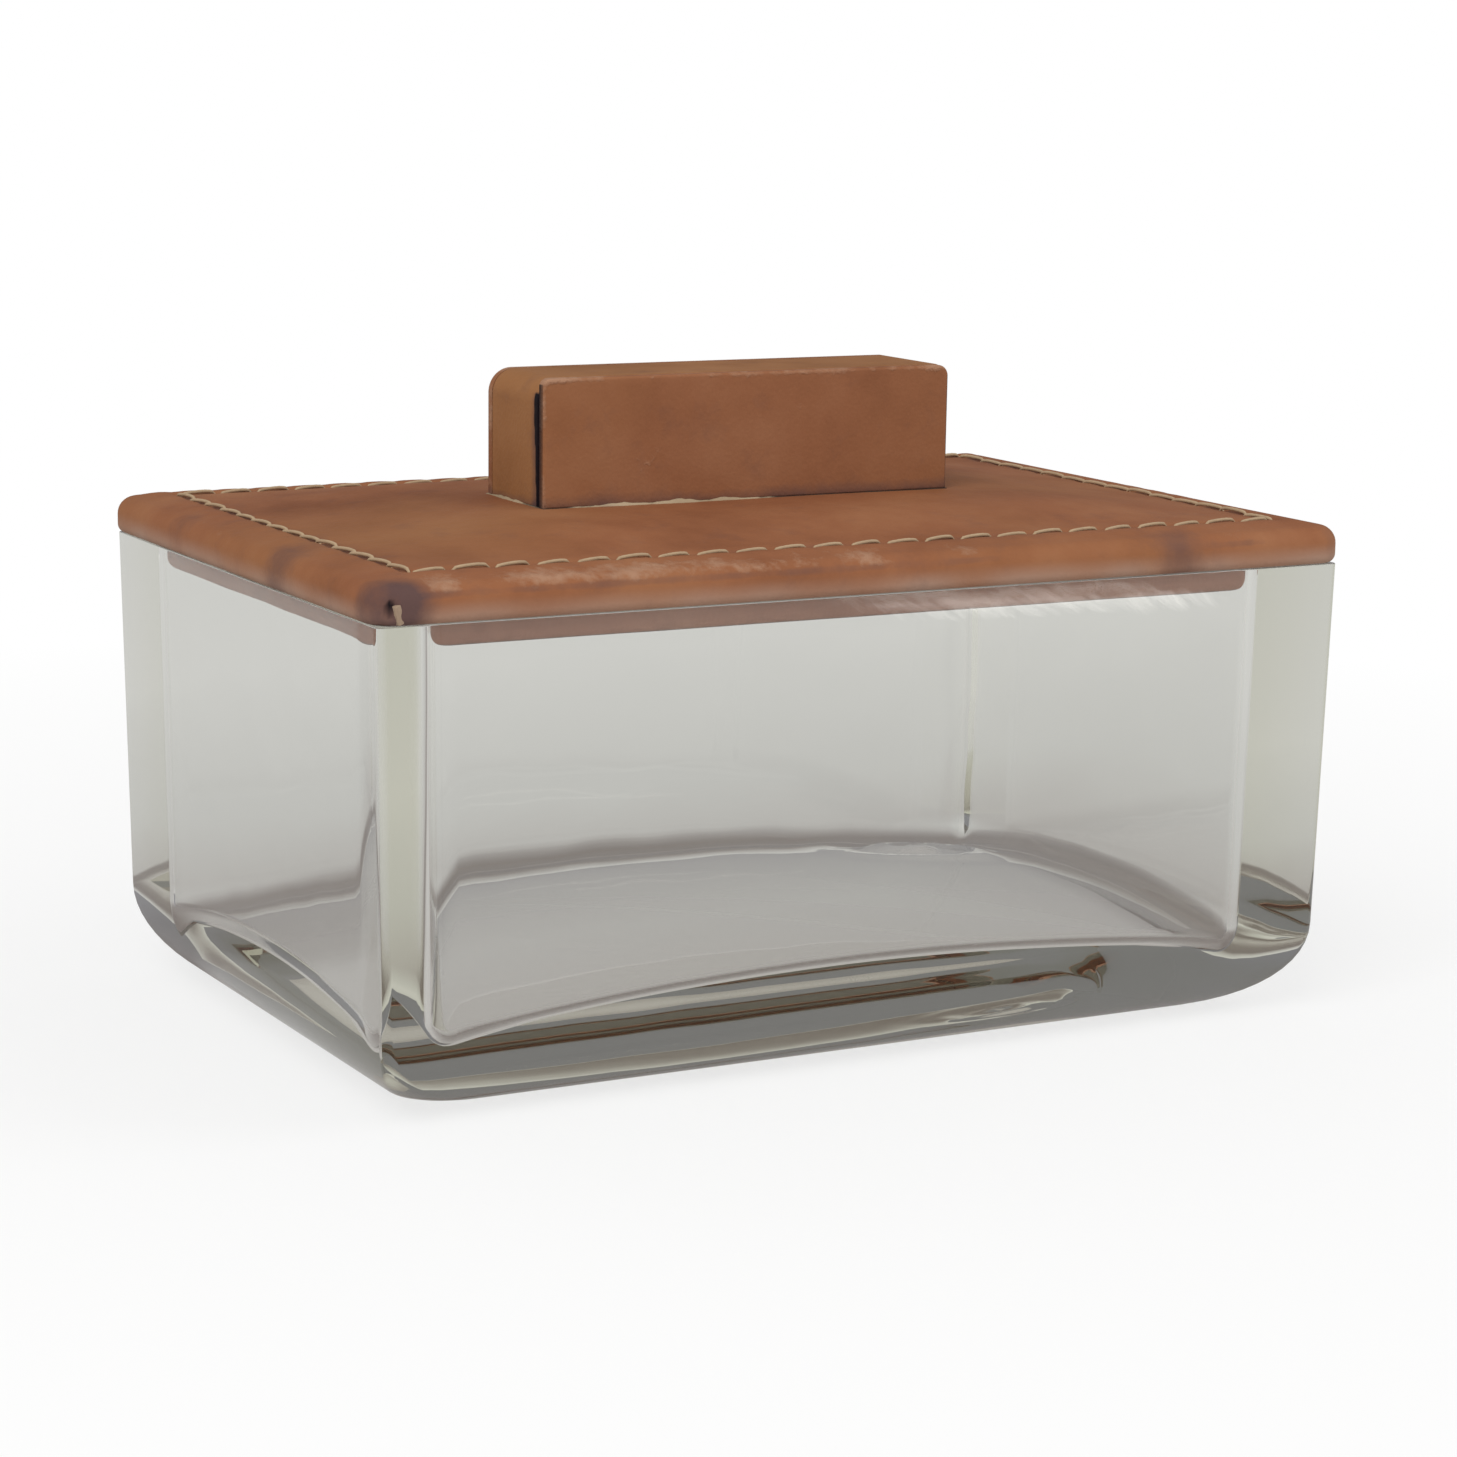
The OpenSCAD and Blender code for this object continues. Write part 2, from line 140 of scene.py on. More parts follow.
def loft(name, rings, corners, cuts, closed=True):
    # Rounded rectangles, each (halfX, halfY, radius, height, lift), bridged in turn as a tall stack and
    # then set to their heights. A lift gives what is added to the height at a place.
    deselectAll()
    bpy.ops.mesh.primitive_plane_add(size=2, enter_editmode=True)
    piece = bpy.context.object
    piece.name = piece.data.name = name
    bpy.ops.mesh.delete(type="VERT")
    numberOf(piece)
    for number, ring in enumerate(rings, 1):
        addRing(piece, number, ring, corners, cuts)
    for number in range(1, len(rings)):
        layer = numberOf(piece)
        editSelect(piece, lambda e: e.verts[0][layer] == e.verts[1][layer]
                   and e.verts[0][layer] in (number, number + 1), "edges")
        bpy.ops.mesh.bridge_edge_loops()
    if closed:
        for number in (1, len(rings)):
            layer = numberOf(piece)
            editSelect(piece, lambda e: e.verts[0][layer] == number == e.verts[1][layer], "edges")
            bpy.ops.mesh.edge_face_add()
    mesh = bmesh.from_edit_mesh(piece.data)
    layer = numberOf(piece)
    for vert in mesh.verts:
        height, lift = rings[vert[layer] - 1][3:5]
        vert.co.z = height + lift(vert.co.x, vert.co.y)
    bmesh.update_edit_mesh(piece.data)
    bpy.ops.mesh.select_all(action="SELECT")
    bpy.ops.mesh.normals_make_consistent(inside=False)
    bpy.ops.object.mode_set(mode="OBJECT")
    return piece


def level(x, y):
    return 0


def ease(t):
    t = min(max(t, 0), 1)
    return t * t * (3 - 2 * t)


def bell(distance, width):
    return math.exp(-(distance / width) ** 2)


def arc(steps, start=0.0, end=90.0):
    return [math.radians(start + (end - start) * i / steps) for i in range(steps + 1)]


def paint(piece, marks):
    # Each mark is a number from 0 to 1 for a place on the piece, stored on its vertices
    for name, amount in marks.items():
        mark = piece.data.attributes.new(name, "FLOAT", "POINT")
        for vert, value in zip(piece.data.vertices, mark.data):
            value.value = min(max(amount(vert.co), 0), 1)


# Materials


def newMaterial(name):
    made = bpy.data.materials.new(name)
    made.use_nodes = True
    return made, made.node_tree, made.node_tree.nodes["Principled BSDF"]


def setTerms(tree, node, terms):
    # Each term is the plain value of an input, or the socket that feeds it
    for key, term in terms.items():
        if isinstance(term, bpy.types.NodeSocket):
            tree.links.new(term, node.inputs[key])
        else:
            node.inputs[key].default_value = term


def addNode(tree, kind, terms=None, **settings):
    node = tree.nodes.new(kind)
    for key, value in settings.items():
        setattr(node, key, value)
    setTerms(tree, node, terms or {})
    return node


def setSurface(tree, socket):
    tree.links.new(socket, tree.nodes["Material Output"].inputs["Surface"])


def objectPlace(tree):
    return addNode(tree, "ShaderNodeTexCoord").outputs["Object"]


def calculate(tree, operation, *terms):
    return addNode(tree, "ShaderNodeMath", dict(enumerate(terms)), operation=operation).outputs[0]


def vectorMath(tree, operation, *terms):
    return addNode(tree, "ShaderNodeVectorMath", dict(enumerate(terms)), operation=operation).outputs


def mapRange(tree, value, source=(0, 1), target=(0, 1)):
    return addNode(tree, "ShaderNodeMapRange", {
        "Value": value, "From Min": source[0], "From Max": source[1],
        "To Min": target[0], "To Max": target[1]}).outputs["Result"]


def mixColour(tree, share, under, over):
    # Inputs 0, 6 and 7 are the factor and the two colours
    return addNode(tree, "ShaderNodeMix", {0: share, 6: under, 7: over}, data_type="RGBA").outputs[2]


def mixShader(tree, share, under, over):
    return addNode(tree, "ShaderNodeMixShader", {"Fac": share, 1: under, 2: over}).outputs[0]


def rampAt(tree, share, stops):
    ramp = addNode(tree, "ShaderNodeValToRGB", {"Fac": share})
    marks = ramp.color_ramp.elements
    marks[0].position, marks[0].color = stops[0]
    marks[1].position, marks[1].color = stops[-1]
    for place, colour in stops[1:-1]:
        marks.new(place).color = colour
    return ramp.outputs["Color"]


def noiseAt(tree, place, scale, detail=3.0, roughness=0.5):
    return addNode(tree, "ShaderNodeTexNoise", {
        "Vector": place, "Scale": scale, "Detail": detail, "Roughness": roughness}).outputs["Fac"]


def bumpOf(tree, height, strength, distance, under=None):
    terms = {"Height": height, "Strength": strength, "Distance": distance}
    if under:
        terms["Normal"] = under
    return addNode(tree, "ShaderNodeBump", terms).outputs["Normal"]


def painted(tree, name):
    return addNode(tree, "ShaderNodeAttribute", attribute_name=name).outputs["Fac"]


def markOn(tree, name, breakUp, soft):
    # A mark painted on the vertices under that name, its edge broken up by a noise
    total = calculate(tree, "ADD", painted(tree, name), breakUp)
    return mapRange(tree, total, (1 - soft, 1 + soft))


def dress(piece, material):
    piece.data.materials.clear()
    piece.data.materials.append(material)


def finishPiece(piece, material, body, node):
    dress(piece, material)
    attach(piece, body)
    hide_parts(node)


glassLook = {
    "tint": (0.985, 0.985, 0.978, 1),
    "absorb": (0.72, 0.715, 0.53, 1),
    "density": 8.0,
    "ior": 1.52,
    "waveSize": 30.0,
    "waveDetail": 2,
    "waveHeight": 0.25 * mm,
    "scuffed": (0.6 * mm, 0.22),
    "reflections": 1.5,
}


def makeGlass(name, look):
    made, tree, shader = newMaterial(name)
    place = objectPlace(tree)
    height = addNode(tree, "ShaderNodeSeparateXYZ", {0: place}).outputs["Z"]
    wave = noiseAt(tree, place, look["waveSize"], look["waveDetail"])
    tint = addNode(tree, "ShaderNodeVolumeAbsorption",
                   {"Color": look["absorb"], "Density": look["density"]})
    tree.links.new(tint.outputs["Volume"], tree.nodes["Material Output"].inputs["Volume"])
    depth, rough = look["scuffed"]  # the underside is scuffed where it has stood on tables
    setTerms(tree, shader, {
        "Base Color": look["tint"], "Transmission Weight": 1, "IOR": look["ior"],
        "Roughness": mapRange(tree, height, (0, depth), (rough, 0)),
        "Normal": bumpOf(tree, wave, 1, look["waveHeight"])})

    # Light caught between the walls leaves straight on after two reflections
    ray = addNode(tree, "ShaderNodeLightPath").outputs
    caught = calculate(tree, "GREATER_THAN", ray["Glossy Depth"], look["reflections"])
    clear = addNode(tree, "ShaderNodeBsdfRefraction", {"IOR": 1, "Roughness": 0})
    setSurface(tree, mixShader(tree, caught, shader.outputs[0], clear.outputs[0]))
    return made


leatherLook = {
    "colours": ((0.28, (0.195, 0.070, 0.030, 1)), (0.50, (0.260, 0.100, 0.044, 1)),
                (0.74, (0.310, 0.134, 0.062, 1))),
    "golden": (0.290, 0.130, 0.048, 1),
    "goldenShare": 0.6,
    "goldenClouds": (0.42, 0.72),
    # painted light: a lighter colour for the lid's lower roll, standing in for light bounced up from the
    # glass
    "faded": (0.325, 0.205, 0.150, 1),
    # real scuffs on the lid, and on the handle panel's top and left edges also a painted highlight
    "worn": (0.350, 0.190, 0.115, 1),
    "wornAndHighlitSoft": 0.16,
    # real stains and dirt, and painted shade in the stitch crease and at the foot of the handle
    "soiled": (0.105, 0.058, 0.052, 1),
    "soiledAndShadedSoft": 0.45,
    "flesh": (0.330, 0.315, 0.300, 1),
    # black of dyed cut edges, and painted shadow in the seams, the slit in the lid's corner and under the
    # handle's panel
    "dye": (0.010, 0.007, 0.010, 1),
    "mottle": (42, 6, 0.6),
    "goldenNoise": (17, 2),
    "flecks": (480, 5, 0.65),
    "dirtAndShade": (160, 5, 0.65),
    "creases": (160, 5, 0.6),
    "grainSize": 1700,
    "grainBump": (0.6, 0.05 * mm),
    "creaseBump": (0.6, 0.12 * mm),
    "peelBump": (0.8, 0.30 * mm),
    "roughness": (0.60, 0.80),
    "gloss": 0.16,
}
# Painted light: the plug's leather is much lighter than the lid's, standing in for light that hardly
# reaches it under the lid through the glass
plugLookPaintedLight = {
    **leatherLook,
    "colours": ((0.28, (0.500, 0.260, 0.190, 1)), (0.50, (0.580, 0.310, 0.225, 1)),
                (0.74, (0.640, 0.360, 0.265, 1))),
    "goldenShare": 0.1,
}
wrapLook = {
    **leatherLook,
    "colours": ((0.28, (0.215, 0.090, 0.032, 1)), (0.50, (0.280, 0.124, 0.048, 1)),
                (0.74, (0.330, 0.156, 0.066, 1))),
    "goldenShare": 0.9,
}
panelLook = {
    **leatherLook,
    "colours": ((0.28, (0.200, 0.076, 0.034, 1)), (0.50, (0.255, 0.102, 0.047, 1)),
                (0.74, (0.300, 0.132, 0.066, 1))),
    "goldenShare": 0.35,
}
glueLook = {
    **leatherLook,
    "colours": ((0.28, (0.240, 0.175, 0.105, 1)), (0.50, (0.350, 0.265, 0.170, 1)),
                (0.74, (0.450, 0.350, 0.235, 1))),
    "goldenShare": 0.0,
}


def makeLeather(name, look):
    made, tree, shader = newMaterial(name)
    place = objectPlace(tree)
    flecks = noiseAt(tree, place, *look["flecks"])
    # Real wear, and on the handle panel's rounded edges a painted highlight
    worn = markOn(tree, "worn", flecks, look["wornAndHighlitSoft"])
    # Real stains, and painted shade in the stitch crease and at the foot of the handle
    soiled = markOn(tree, "soiled", noiseAt(tree, place, *look["dirtAndShade"]), look["soiledAndShadedSoft"])
    cloud = mapRange(tree, noiseAt(tree, place, *look["goldenNoise"]), look["goldenClouds"],
                     (0, look["goldenShare"]))
    colour = rampAt(tree, noiseAt(tree, place, *look["mottle"]), look["colours"])
    # Marks over the colour: golden clouds, painted bounce light, wear with a painted highlight, stains with
    # painted shade, the flesh side, and dye with painted shadow
    for share, over in ((cloud, "golden"), (painted(tree, "faded"), "faded"),
                        (worn, "worn"), (soiled, "soiled"),
                        (painted(tree, "flesh"), "flesh"), (painted(tree, "dyed"), "dye")):
        colour = mixColour(tree, share, colour, look[over])
    grain = addNode(tree, "ShaderNodeTexVoronoi", {"Vector": place, "Scale": look["grainSize"]})
    peel = bumpOf(tree, calculate(tree, "MULTIPLY", worn, flecks), *look["peelBump"])
    soft = bumpOf(tree, noiseAt(tree, place, *look["creases"]), *look["creaseBump"], peel)
    setTerms(tree, shader, {
        "Base Color": colour, "Specular IOR Level": look["gloss"],
        "Roughness": mapRange(tree, flecks, (0, 1), look["roughness"]),
        "Normal": bumpOf(tree, grain.outputs["Distance"], *look["grainBump"], soft)})
    return made


plainLook = {"roughness": 0.6, "metallic": 0.0, "scale": 900, "detail": 4, "darker": 0.75, "lighter": 1.15}


def makePlain(name, colour, **changes):
    look = {**plainLook, **changes}
    made, tree, shader = newMaterial(name)
    speck = noiseAt(tree, objectPlace(tree), look["scale"], look["detail"])
    shades = [tuple(min(1, c * look[key]) for c in colour) + (1,) for key in ("darker", "lighter")]
    setTerms(tree, shader, {
        "Base Color": rampAt(tree, speck, ((0, shades[0]), (1, shades[1]))),
        "Roughness": look["roughness"], "Metallic": look["metallic"]})
    return made


clearGlass = makeGlass("clearGlass", glassLook)
tanLeather = makeLeather("tanLeather", leatherLook)
plugLeather = makeLeather("plugLeather", plugLookPaintedLight)
wrapLeather = makeLeather("wrapLeather", wrapLook)
panelLeather = makeLeather("panelLeather", panelLook)
driedGlue = makeLeather("driedGlue", glueLook)
linenThread = makePlain("linenThread", (0.43, 0.31, 0.19), roughness=0.85, scale=700)
beechWood = makePlain("beechWood", (0.50, 0.34, 0.18))
stainedWood = makePlain("stainedWood", (0.012, 0.010, 0.012), roughness=0.7)
brassPin = makePlain("brassPin", (0.55, 0.42, 0.15), roughness=0.3, metallic=1.0)
steelScrew = makePlain("steelScrew", (0.45, 0.45, 0.44), roughness=0.35, metallic=1.0)
rawFibre = makePlain("rawFibre", (0.315, 0.220, 0.150), roughness=0.9)

nodeFinish = {
    "glass_tank": clearGlass, "lid_board": beechWood, "lid_cover": tanLeather, "lid_lining": tanLeather,
    "plug_board": beechWood, "plug_cover": plugLeather, "plug_pins": brassPin,
    "stitch_front": linenThread, "stitch_back": linenThread,
    "stitch_left": linenThread, "stitch_right": linenThread,
    "handle_core": stainedWood, "handle_wrap": wrapLeather,
    "handle_front_panel": panelLeather, "handle_back_panel": panelLeather,
    "handle_screws": steelScrew, "handle_glue": driedGlue,
}
for node, finish in nodeFinish.items():
    dress(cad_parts[node], finish)
print("materials made")

# Glass tank

tankForm = {
    "wall": 9 * mm,
    "outerDraft": 1.0,
    "innerDraft": 0.7,
    "corner": 1.4 * mm,
    "heel": 13.5 * mm,
    "heelSpread": 0.7,
    "base": 10 * mm,
    "riseX": 4 * mm,
    "riseY": 3.5 * mm,
    "cavityCorner": 4.5 * mm,
    "floorEdge": 3.5 * mm,
    "rim": 0.14 * mm,
    "seat": 0.04 * mm,
    "leastRadius": 1.2 * mm,
    "floorSwirl": 0.7,
    "heelSteps": 14,
    "edgeSteps": 8,
    "floorRings": 26,
    "floorReach": (0.97, 0.94),
    "curl": (46, 22, 11, 0.9),
    "curlTurns": 1.1,
    "curlCalm": 0.3,
    "corners": 8,
    "cuts": (60, 40),
}


def makeTank(form):
    low, half = cadSize("glass_tank")
    top = low.z + 2 * half.z - form["seat"]
    outerSlope, innerSlope = (math.tan(math.radians(form[key])) for key in ("outerDraft", "innerDraft"))

    def outside(inset, height):
        lean = outerSlope * (top - height) + inset
        return (half.x - lean, half.y - lean, form["corner"] + form["heelSpread"] * inset, height, level)

    def inside(inset, height, lift=level):
        lean = innerSlope * (top - height) + inset + form["wall"]
        radius = max(form["cavityCorner"] - inset, form["leastRadius"])
        return (half.x - lean, half.y - lean, radius, height, lift)

    def pillow(x, y):
        rise = form["riseX"] * (1 - (x / floorX) ** 2) + form["riseY"] * (1 - (y / floorY) ** 2)
        return rise + curl(x, y)

    def curl(x, y):
        # The shallow swirl that the shears leave in the pressed glass
        curlX, curlY, size, depth = (v * mm for v in form["curl"])
        away = math.dist((x, y), (curlX, curlY))
        turn = math.atan2(y - curlY, x - curlX) + form["curlTurns"] * math.tau * away / size
        return depth * bell(away, size) * math.cos(turn) * ease(away / (form["curlCalm"] * size))

    heel, rim, fillet, base = form["heel"], form["rim"], form["floorEdge"], form["base"]
    steps = form["edgeSteps"]
    rings = [outside(heel * (1 - math.sin(a)), heel * (1 - math.cos(a))) for a in arc(form["heelSteps"])]
    rings += [outside(rim * (1 - math.cos(a)), top - rim * (1 - math.sin(a))) for a in arc(steps)]
    rings += [inside(-rim * (1 - math.sin(a)), top - rim * (1 - math.cos(a))) for a in arc(steps)]
    rings += [inside(fillet * (1 - math.cos(a)), base + fillet * (1 - math.sin(a)), pillow)
              for a in arc(steps)]
    floorX, floorY = rings[-1][:2]
    outermost, narrowing = form["floorReach"]
    for i in range(form["floorRings"]):
        k = outermost - narrowing * i / (form["floorRings"] - 1)
        radius = k * (form["leastRadius"] + (1 - k) * form["floorSwirl"] * floorY)
        rings.append((k * floorX, k * floorY, radius, base, pillow))
    piece = loft("glassTank", rings, form["corners"], form["cuts"])
    smoothByArea(piece)
    finishPiece(piece, clearGlass, "tank", "glass_tank")


makeTank(tankForm)
print("glass tank made")

# Lid

lidForm = {
    "underRound": 1.3 * mm,
    "topRound": 2.6 * mm,
    "topTurn": 80,
    "drop": 0.6 * mm,
    "edgeHeight": 6 * mm,
    "crown": 2.2 * mm,
    "plateau": 0.55,
    "corner": 4.3 * mm,
    "leastRadius": 1.2 * mm,
    "leather": 1.1 * mm,
    "turnIn": 5 * mm,
    "stitchInset": 8 * mm,
    "stitchPitch": 5.7 * mm,
    "creaseHalf": 0.68 * mm,
    "creaseDepth": 0.42 * mm,
    "creaseSoft": 0.75 * mm,
    "holeDepth": 0.30 * mm,
    "holeSoft": 1.3,
    "puff": 0.14 * mm,
    "puffPlace": (2.6 * mm, 1.6 * mm),
    "wave": 0.10 * mm,
    "waveSize": 45,
    "waveSoft": 2 * mm,
    "swirl": 0.4,
    "edgeSteps": 8,
    "innerMiddle": (0.05, 0.3, 0.55, 0.65, 0.75, 0.85, 0.95, 1),
    "innerBorder": (1, 0.5, 0.2),
    "lip": (0.15 * mm, 0.12 * mm),
    "outerBorder": (0.12, 0.25, 0.38, 0.5, 0.62, 0.72, 0.80, 0.87, 0.94),
    "creaseRings": (-0.9, -0.45, 0, 0.45),
    "outerMiddle": [1 - 0.028 * i for i in range(16)] + [0.5, 0.4, 0.28, 0.16, 0.05],
    "corners": 16,
    "cuts": (156, 104),
    "smooth": 60,
}


def rowCount(form, run):
    return math.floor(run / form["stitchPitch"])


def lidRelief(form, half):
    # Height of the leather over the border: crown, crease, puckers at the stitch holes and soft waves
    startX, startY = (side - form["stitchInset"] - form["creaseHalf"] for side in (half.x, half.y))
    runX, runY = (2 * (side - form["stitchInset"]) for side in (half.x, half.y))
    pitchX, pitchY = (run / rowCount(form, run) for run in (runX, runY))
    outside, wide = form["puffPlace"]

    def crown(x, y):
        rise = [ease((1 - abs(v) / start) / (1 - form["plateau"]))
                for v, start in ((x, startX), (y, startY))]
        return form["crown"] * rise[0] * rise[1]

    def relief(x, y):
        insetX, insetY = half.x - abs(x), half.y - abs(y)
        inset = min(insetX, insetY)
        along = (x + runX / 2) / pitchX if insetY < insetX else (y + runY / 2) / pitchY
        pull = (0.5 + 0.5 * math.cos(2 * math.pi * along)) ** 3  # 1 at the holes between two stitches
        across = inset - form["stitchInset"]
        sunk = form["creaseDepth"] * bell(across, form["creaseSoft"])
        sunk += form["holeDepth"] * pull * bell(across, form["holeSoft"] * form["creaseSoft"])
        puffed = form["puff"] * (1 - pull) * bell(across + outside, wide)
        wavy = form["wave"] * noise.noise(Vector((x, y, 0)) * form["waveSize"])
        return crown(x, y) - sunk + (puffed + wavy) * ease((inset - form["topRound"]) / form["waveSoft"])

    return crown, relief


lidWear = {
    # painted light on the lower roll of the lid, standing in for light bounced up from the glass
    "bounceLightTop": 3.4 * mm,
    "bounceLightSoft": 2.6 * mm,
    "bounceLightShare": 0.85,
    "bounceLightNoise": (0.75, 0.5, 120),
    "scuffs": ((-66, 4, 0.50), (-52, 9, 0.60), (-37, 7, 0.56), (-24, 6, 0.52), (-14, 4, 0.4), (-4, 5, 0.58),
               (12, 4, 0.42), (57, 5, 0.35)),
    "scuffHeight": 5.0 * mm,
    "scuffSoft": 1.3 * mm,
    "scuffNoise": (0.4 * mm, 300),
    "scuffInset": 1.5 * mm,
    "scuffFade": 2 * mm,
    "backScuff": 0.25,
    "stains": ((-70.6, -50.6, 3.0, 0.9), (-74.6, -49.2, 3.2, 0.62), (-77, -46, 2.6, 0.3),
               (47, -50, 4.0, 0.5), (-75, -17, 4.5, 0.5), (74, 46, 4.0, 0.4), (-74, 22, 3.0, 0.3),
               (75, -44, 3.0, 0.3)),
    "stainMost": 0.95,
    "scuffLine": (0.5, 1.1 * mm, 0.35 * mm),
    # painted shade darkening the crease along the stitch line
    "stitchCreaseShade": 0.40,
    "flesh": (0.2 * mm, 0.15 * mm),
    "slit": (-73.24, -50.11, 2.4),
    "slitSize": (0.55, 1.1),
    "slitBack": 2 * mm,
    "slitDepth": 0.8 * mm,
    # painted shade in the recess of the slit
    "slitRecessShade": (2.5, 0.5),
    "slitReach": (0.8, 1.2),
}


def slitShare(wear, place, base):
    # 1 in the middle of the slit worn through the near corner, 0 away from it
    x, y, height = (v * mm for v in wear["slit"])
    width, tall = (v * mm for v in wear["slitSize"])
    return bell(place.x - x, width) * (place.y < y + wear["slitBack"]) * bell(place.z - base - height, tall)


def paintLid(piece, form, wear, half, base):
    # Worn and dirty places of the leather, painted light on its lower roll, and painted shade in the stitch
    # crease and the slit.
    # In mm, a scuff on the front roll is (x, length, strength) and a stain is (x, y, size, strength).
    scuffHeight, scuffSoft = wear["scuffHeight"], wear["scuffSoft"]

    # Painted light: lighter towards the bottom of the edge, broken up by a noise
    def faded(place):
        least, spread, size = wear["bounceLightNoise"]
        under = ease((base + wear["bounceLightTop"] - place.z) / wear["bounceLightSoft"])
        return wear["bounceLightShare"] * under * (least + spread * noise.noise(place * size))

    def worn(place):
        if place.y > 0:
            return wear["backScuff"] * bell(place.z - base - scuffHeight, scuffSoft)
        depth, size = wear["scuffNoise"]
        band = bell(place.z - base - scuffHeight - depth * noise.noise(place * size), scuffSoft)
        reach = form["stitchInset"] - wear["scuffInset"] - half.y + abs(place.y)
        return band * ease(reach / wear["scuffFade"]) * sum(
            force * bell(place.x - x * mm, length * mm) for x, length, force in wear["scuffs"])

    def soiled(place):
        spots = sum(force * bell(math.dist(place.xy, (x * mm, y * mm)), size * mm)
                    for x, y, size, force in wear["stains"])
        inset = min(half.x - abs(place.x), half.y - abs(place.y))
        top = place.z > base + form["edgeHeight"] / 2
        share, drop, soft = wear["scuffLine"]
        lines = share * bell(place.z - base - scuffHeight + drop, soft) * (place.y < 0)
        lines *= sum(bell(place.x - x * mm, length * mm) for x, length, force in wear["scuffs"])
        # Painted shade in the crease along the stitch line on top
        dirtAndShade = top * wear["stitchCreaseShade"] * bell(inset - form["stitchInset"], form["creaseSoft"])
        return min(spots, wear["stainMost"]) + lines + dirtAndShade

    def flesh(place):
        height, soft = wear["flesh"]
        return ease((base + height - place.z) / soft)

    def dyed(place):
        # Painted shade: the recess of the slit is black
        steep, start = wear["slitRecessShade"]
        return ease(steep * slitShare(wear, place, base) - start)

    paint(piece, {"faded": faded, "worn": worn, "soiled": soiled, "flesh": flesh, "dyed": dyed})


def makeLidCover(form, wear):
    low, half = cadSize("lid_cover")
    crown, relief = lidRelief(form, half)
    crest = form["edgeHeight"] - form["drop"]

    def ring(inset, height, lift=level):
        radius = max(form["corner"] - inset, form["leastRadius"])
        return (half.x - inset, half.y - inset, radius, low.z + height, lift)

    def edge(depth):
        under, top = form["underRound"], form["topRound"]
        return [ring(under - (under - depth) * math.sin(a), under - (under - depth) * math.cos(a))
                for a in arc(form["edgeSteps"])] + [
            ring(top - (top - depth) * math.cos(a), crest - top + (top - depth) * math.sin(a))
            for a in arc(form["edgeSteps"], 0, form["topTurn"])]

    def border(depth, shares, lift):
        reach = form["stitchInset"] - form["creaseHalf"] - form["topRound"]
        rise = form["drop"]
        return [ring(form["topRound"] + u * reach, crest + rise * math.sin(u * math.pi / 2) - depth, lift)
                for u in shares]

    def middle(depth, shares, lift):
        startX, startY = (side - form["stitchInset"] - form["creaseHalf"] for side in (half.x, half.y))
        return [(k * startX, k * startY, k * (form["leastRadius"] + (1 - k) * form["swirl"] * startY),
                 low.z + form["edgeHeight"] - depth, lift) for k in shares]

    leather, turnIn = form["leather"], form["turnIn"]
    lipHeight, lipInset = form["lip"]
    inner = middle(leather, form["innerMiddle"], crown)
    inner += border(leather, form["innerBorder"], level) + edge(leather)[::-1] + [ring(turnIn, leather)]
    outer = [ring(turnIn, lipHeight), ring(turnIn - lipInset, 0)]
    outer += edge(0) + border(0, form["outerBorder"], relief)
    outer += [ring(form["stitchInset"] + step * form["creaseHalf"], form["edgeHeight"], relief)
              for step in form["creaseRings"]]
    outer += middle(0, form["outerMiddle"], relief)
    piece = loft("lidCover", inner + outer, form["corners"], form["cuts"])
    corner = Vector((form["corner"] - half.x, form["corner"] - half.y, 0))
    nearest, farthest = (share * form["corner"] for share in wear["slitReach"])
    for vert in piece.data.vertices:
        inward = Vector((corner.x - vert.co.x, corner.y - vert.co.y, 0))
        if nearest < inward.length < farthest:
            vert.co += inward.normalized() * wear["slitDepth"] * slitShare(wear, vert.co, low.z)
    smoothFaces(piece, form["smooth"])
    paintLid(piece, form, wear, half, low.z)
    finishPiece(piece, tanLeather, "lid", "lid_cover")


coreForm = {
    "place": (-72.3, -50.2, 68.6),  # mm
    "size": (0.9, 0.7, 2.6),  # mm
    "tilt": (2, -14, 14),
    "edge": 0.12 * mm,
    "edgeSteps": 3,
    "splits": 2,
    "rough": (0.07 * mm, 1500),
    "seed": 4,
    "smooth": 40,
}


def makeCornerCore(form):
    # Corner of the lid's board, bare where the leather is worn through
    deselectAll()
    bpy.ops.mesh.primitive_cube_add(size=mm, location=Vector(form["place"]) * mm,
                                    rotation=[math.radians(v) for v in form["tilt"]])
    piece = bpy.context.object
    piece.name = piece.data.name = "cornerCore"
    piece.scale = form["size"]
    bpy.ops.object.transform_apply(location=True, rotation=True, scale=True)
    applyModifier(piece, "BEVEL", {"width": form["edge"], "segments": form["edgeSteps"]})
    applyModifier(piece, "SUBSURF", {"levels": form["splits"], "subdivision_type": "SIMPLE"})
    depth, size = form["rough"]
    noise.seed_set(form["seed"])  # without a seed, noise_vector differs from run to run
    for vert in piece.data.vertices:
        vert.co += depth * noise.noise_vector(vert.co * size)
    smoothFaces(piece, form["smooth"])
    dress(piece, rawFibre)
    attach(piece, "lid")


makeLidCover(lidForm, lidWear)
makeCornerCore(coreForm)
print("lid cover made")

stitchForm = {
    "length": 6.2 * mm,
    "thick": 0.50 * mm,
    "slant": 11,
    "sides": 12,
    "cuts": 15,
    "rise": 0.30 * mm,
    "crest": 0.25,
    "dive": 0.50 * mm,
    "diveShare": 0.34,
    "strands": 3,
    "strandDepth": (0.10, 0.6),
    "twists": 2.2,
    "taper": (0.35, 0.7),
    "overHeight": 5.80 * mm,
    "underHeight": 0.435 * mm,
    "lean": 4.0,
    "uneven": 0.12 * mm,
    "seed": 4,
    "smooth": 50,
}


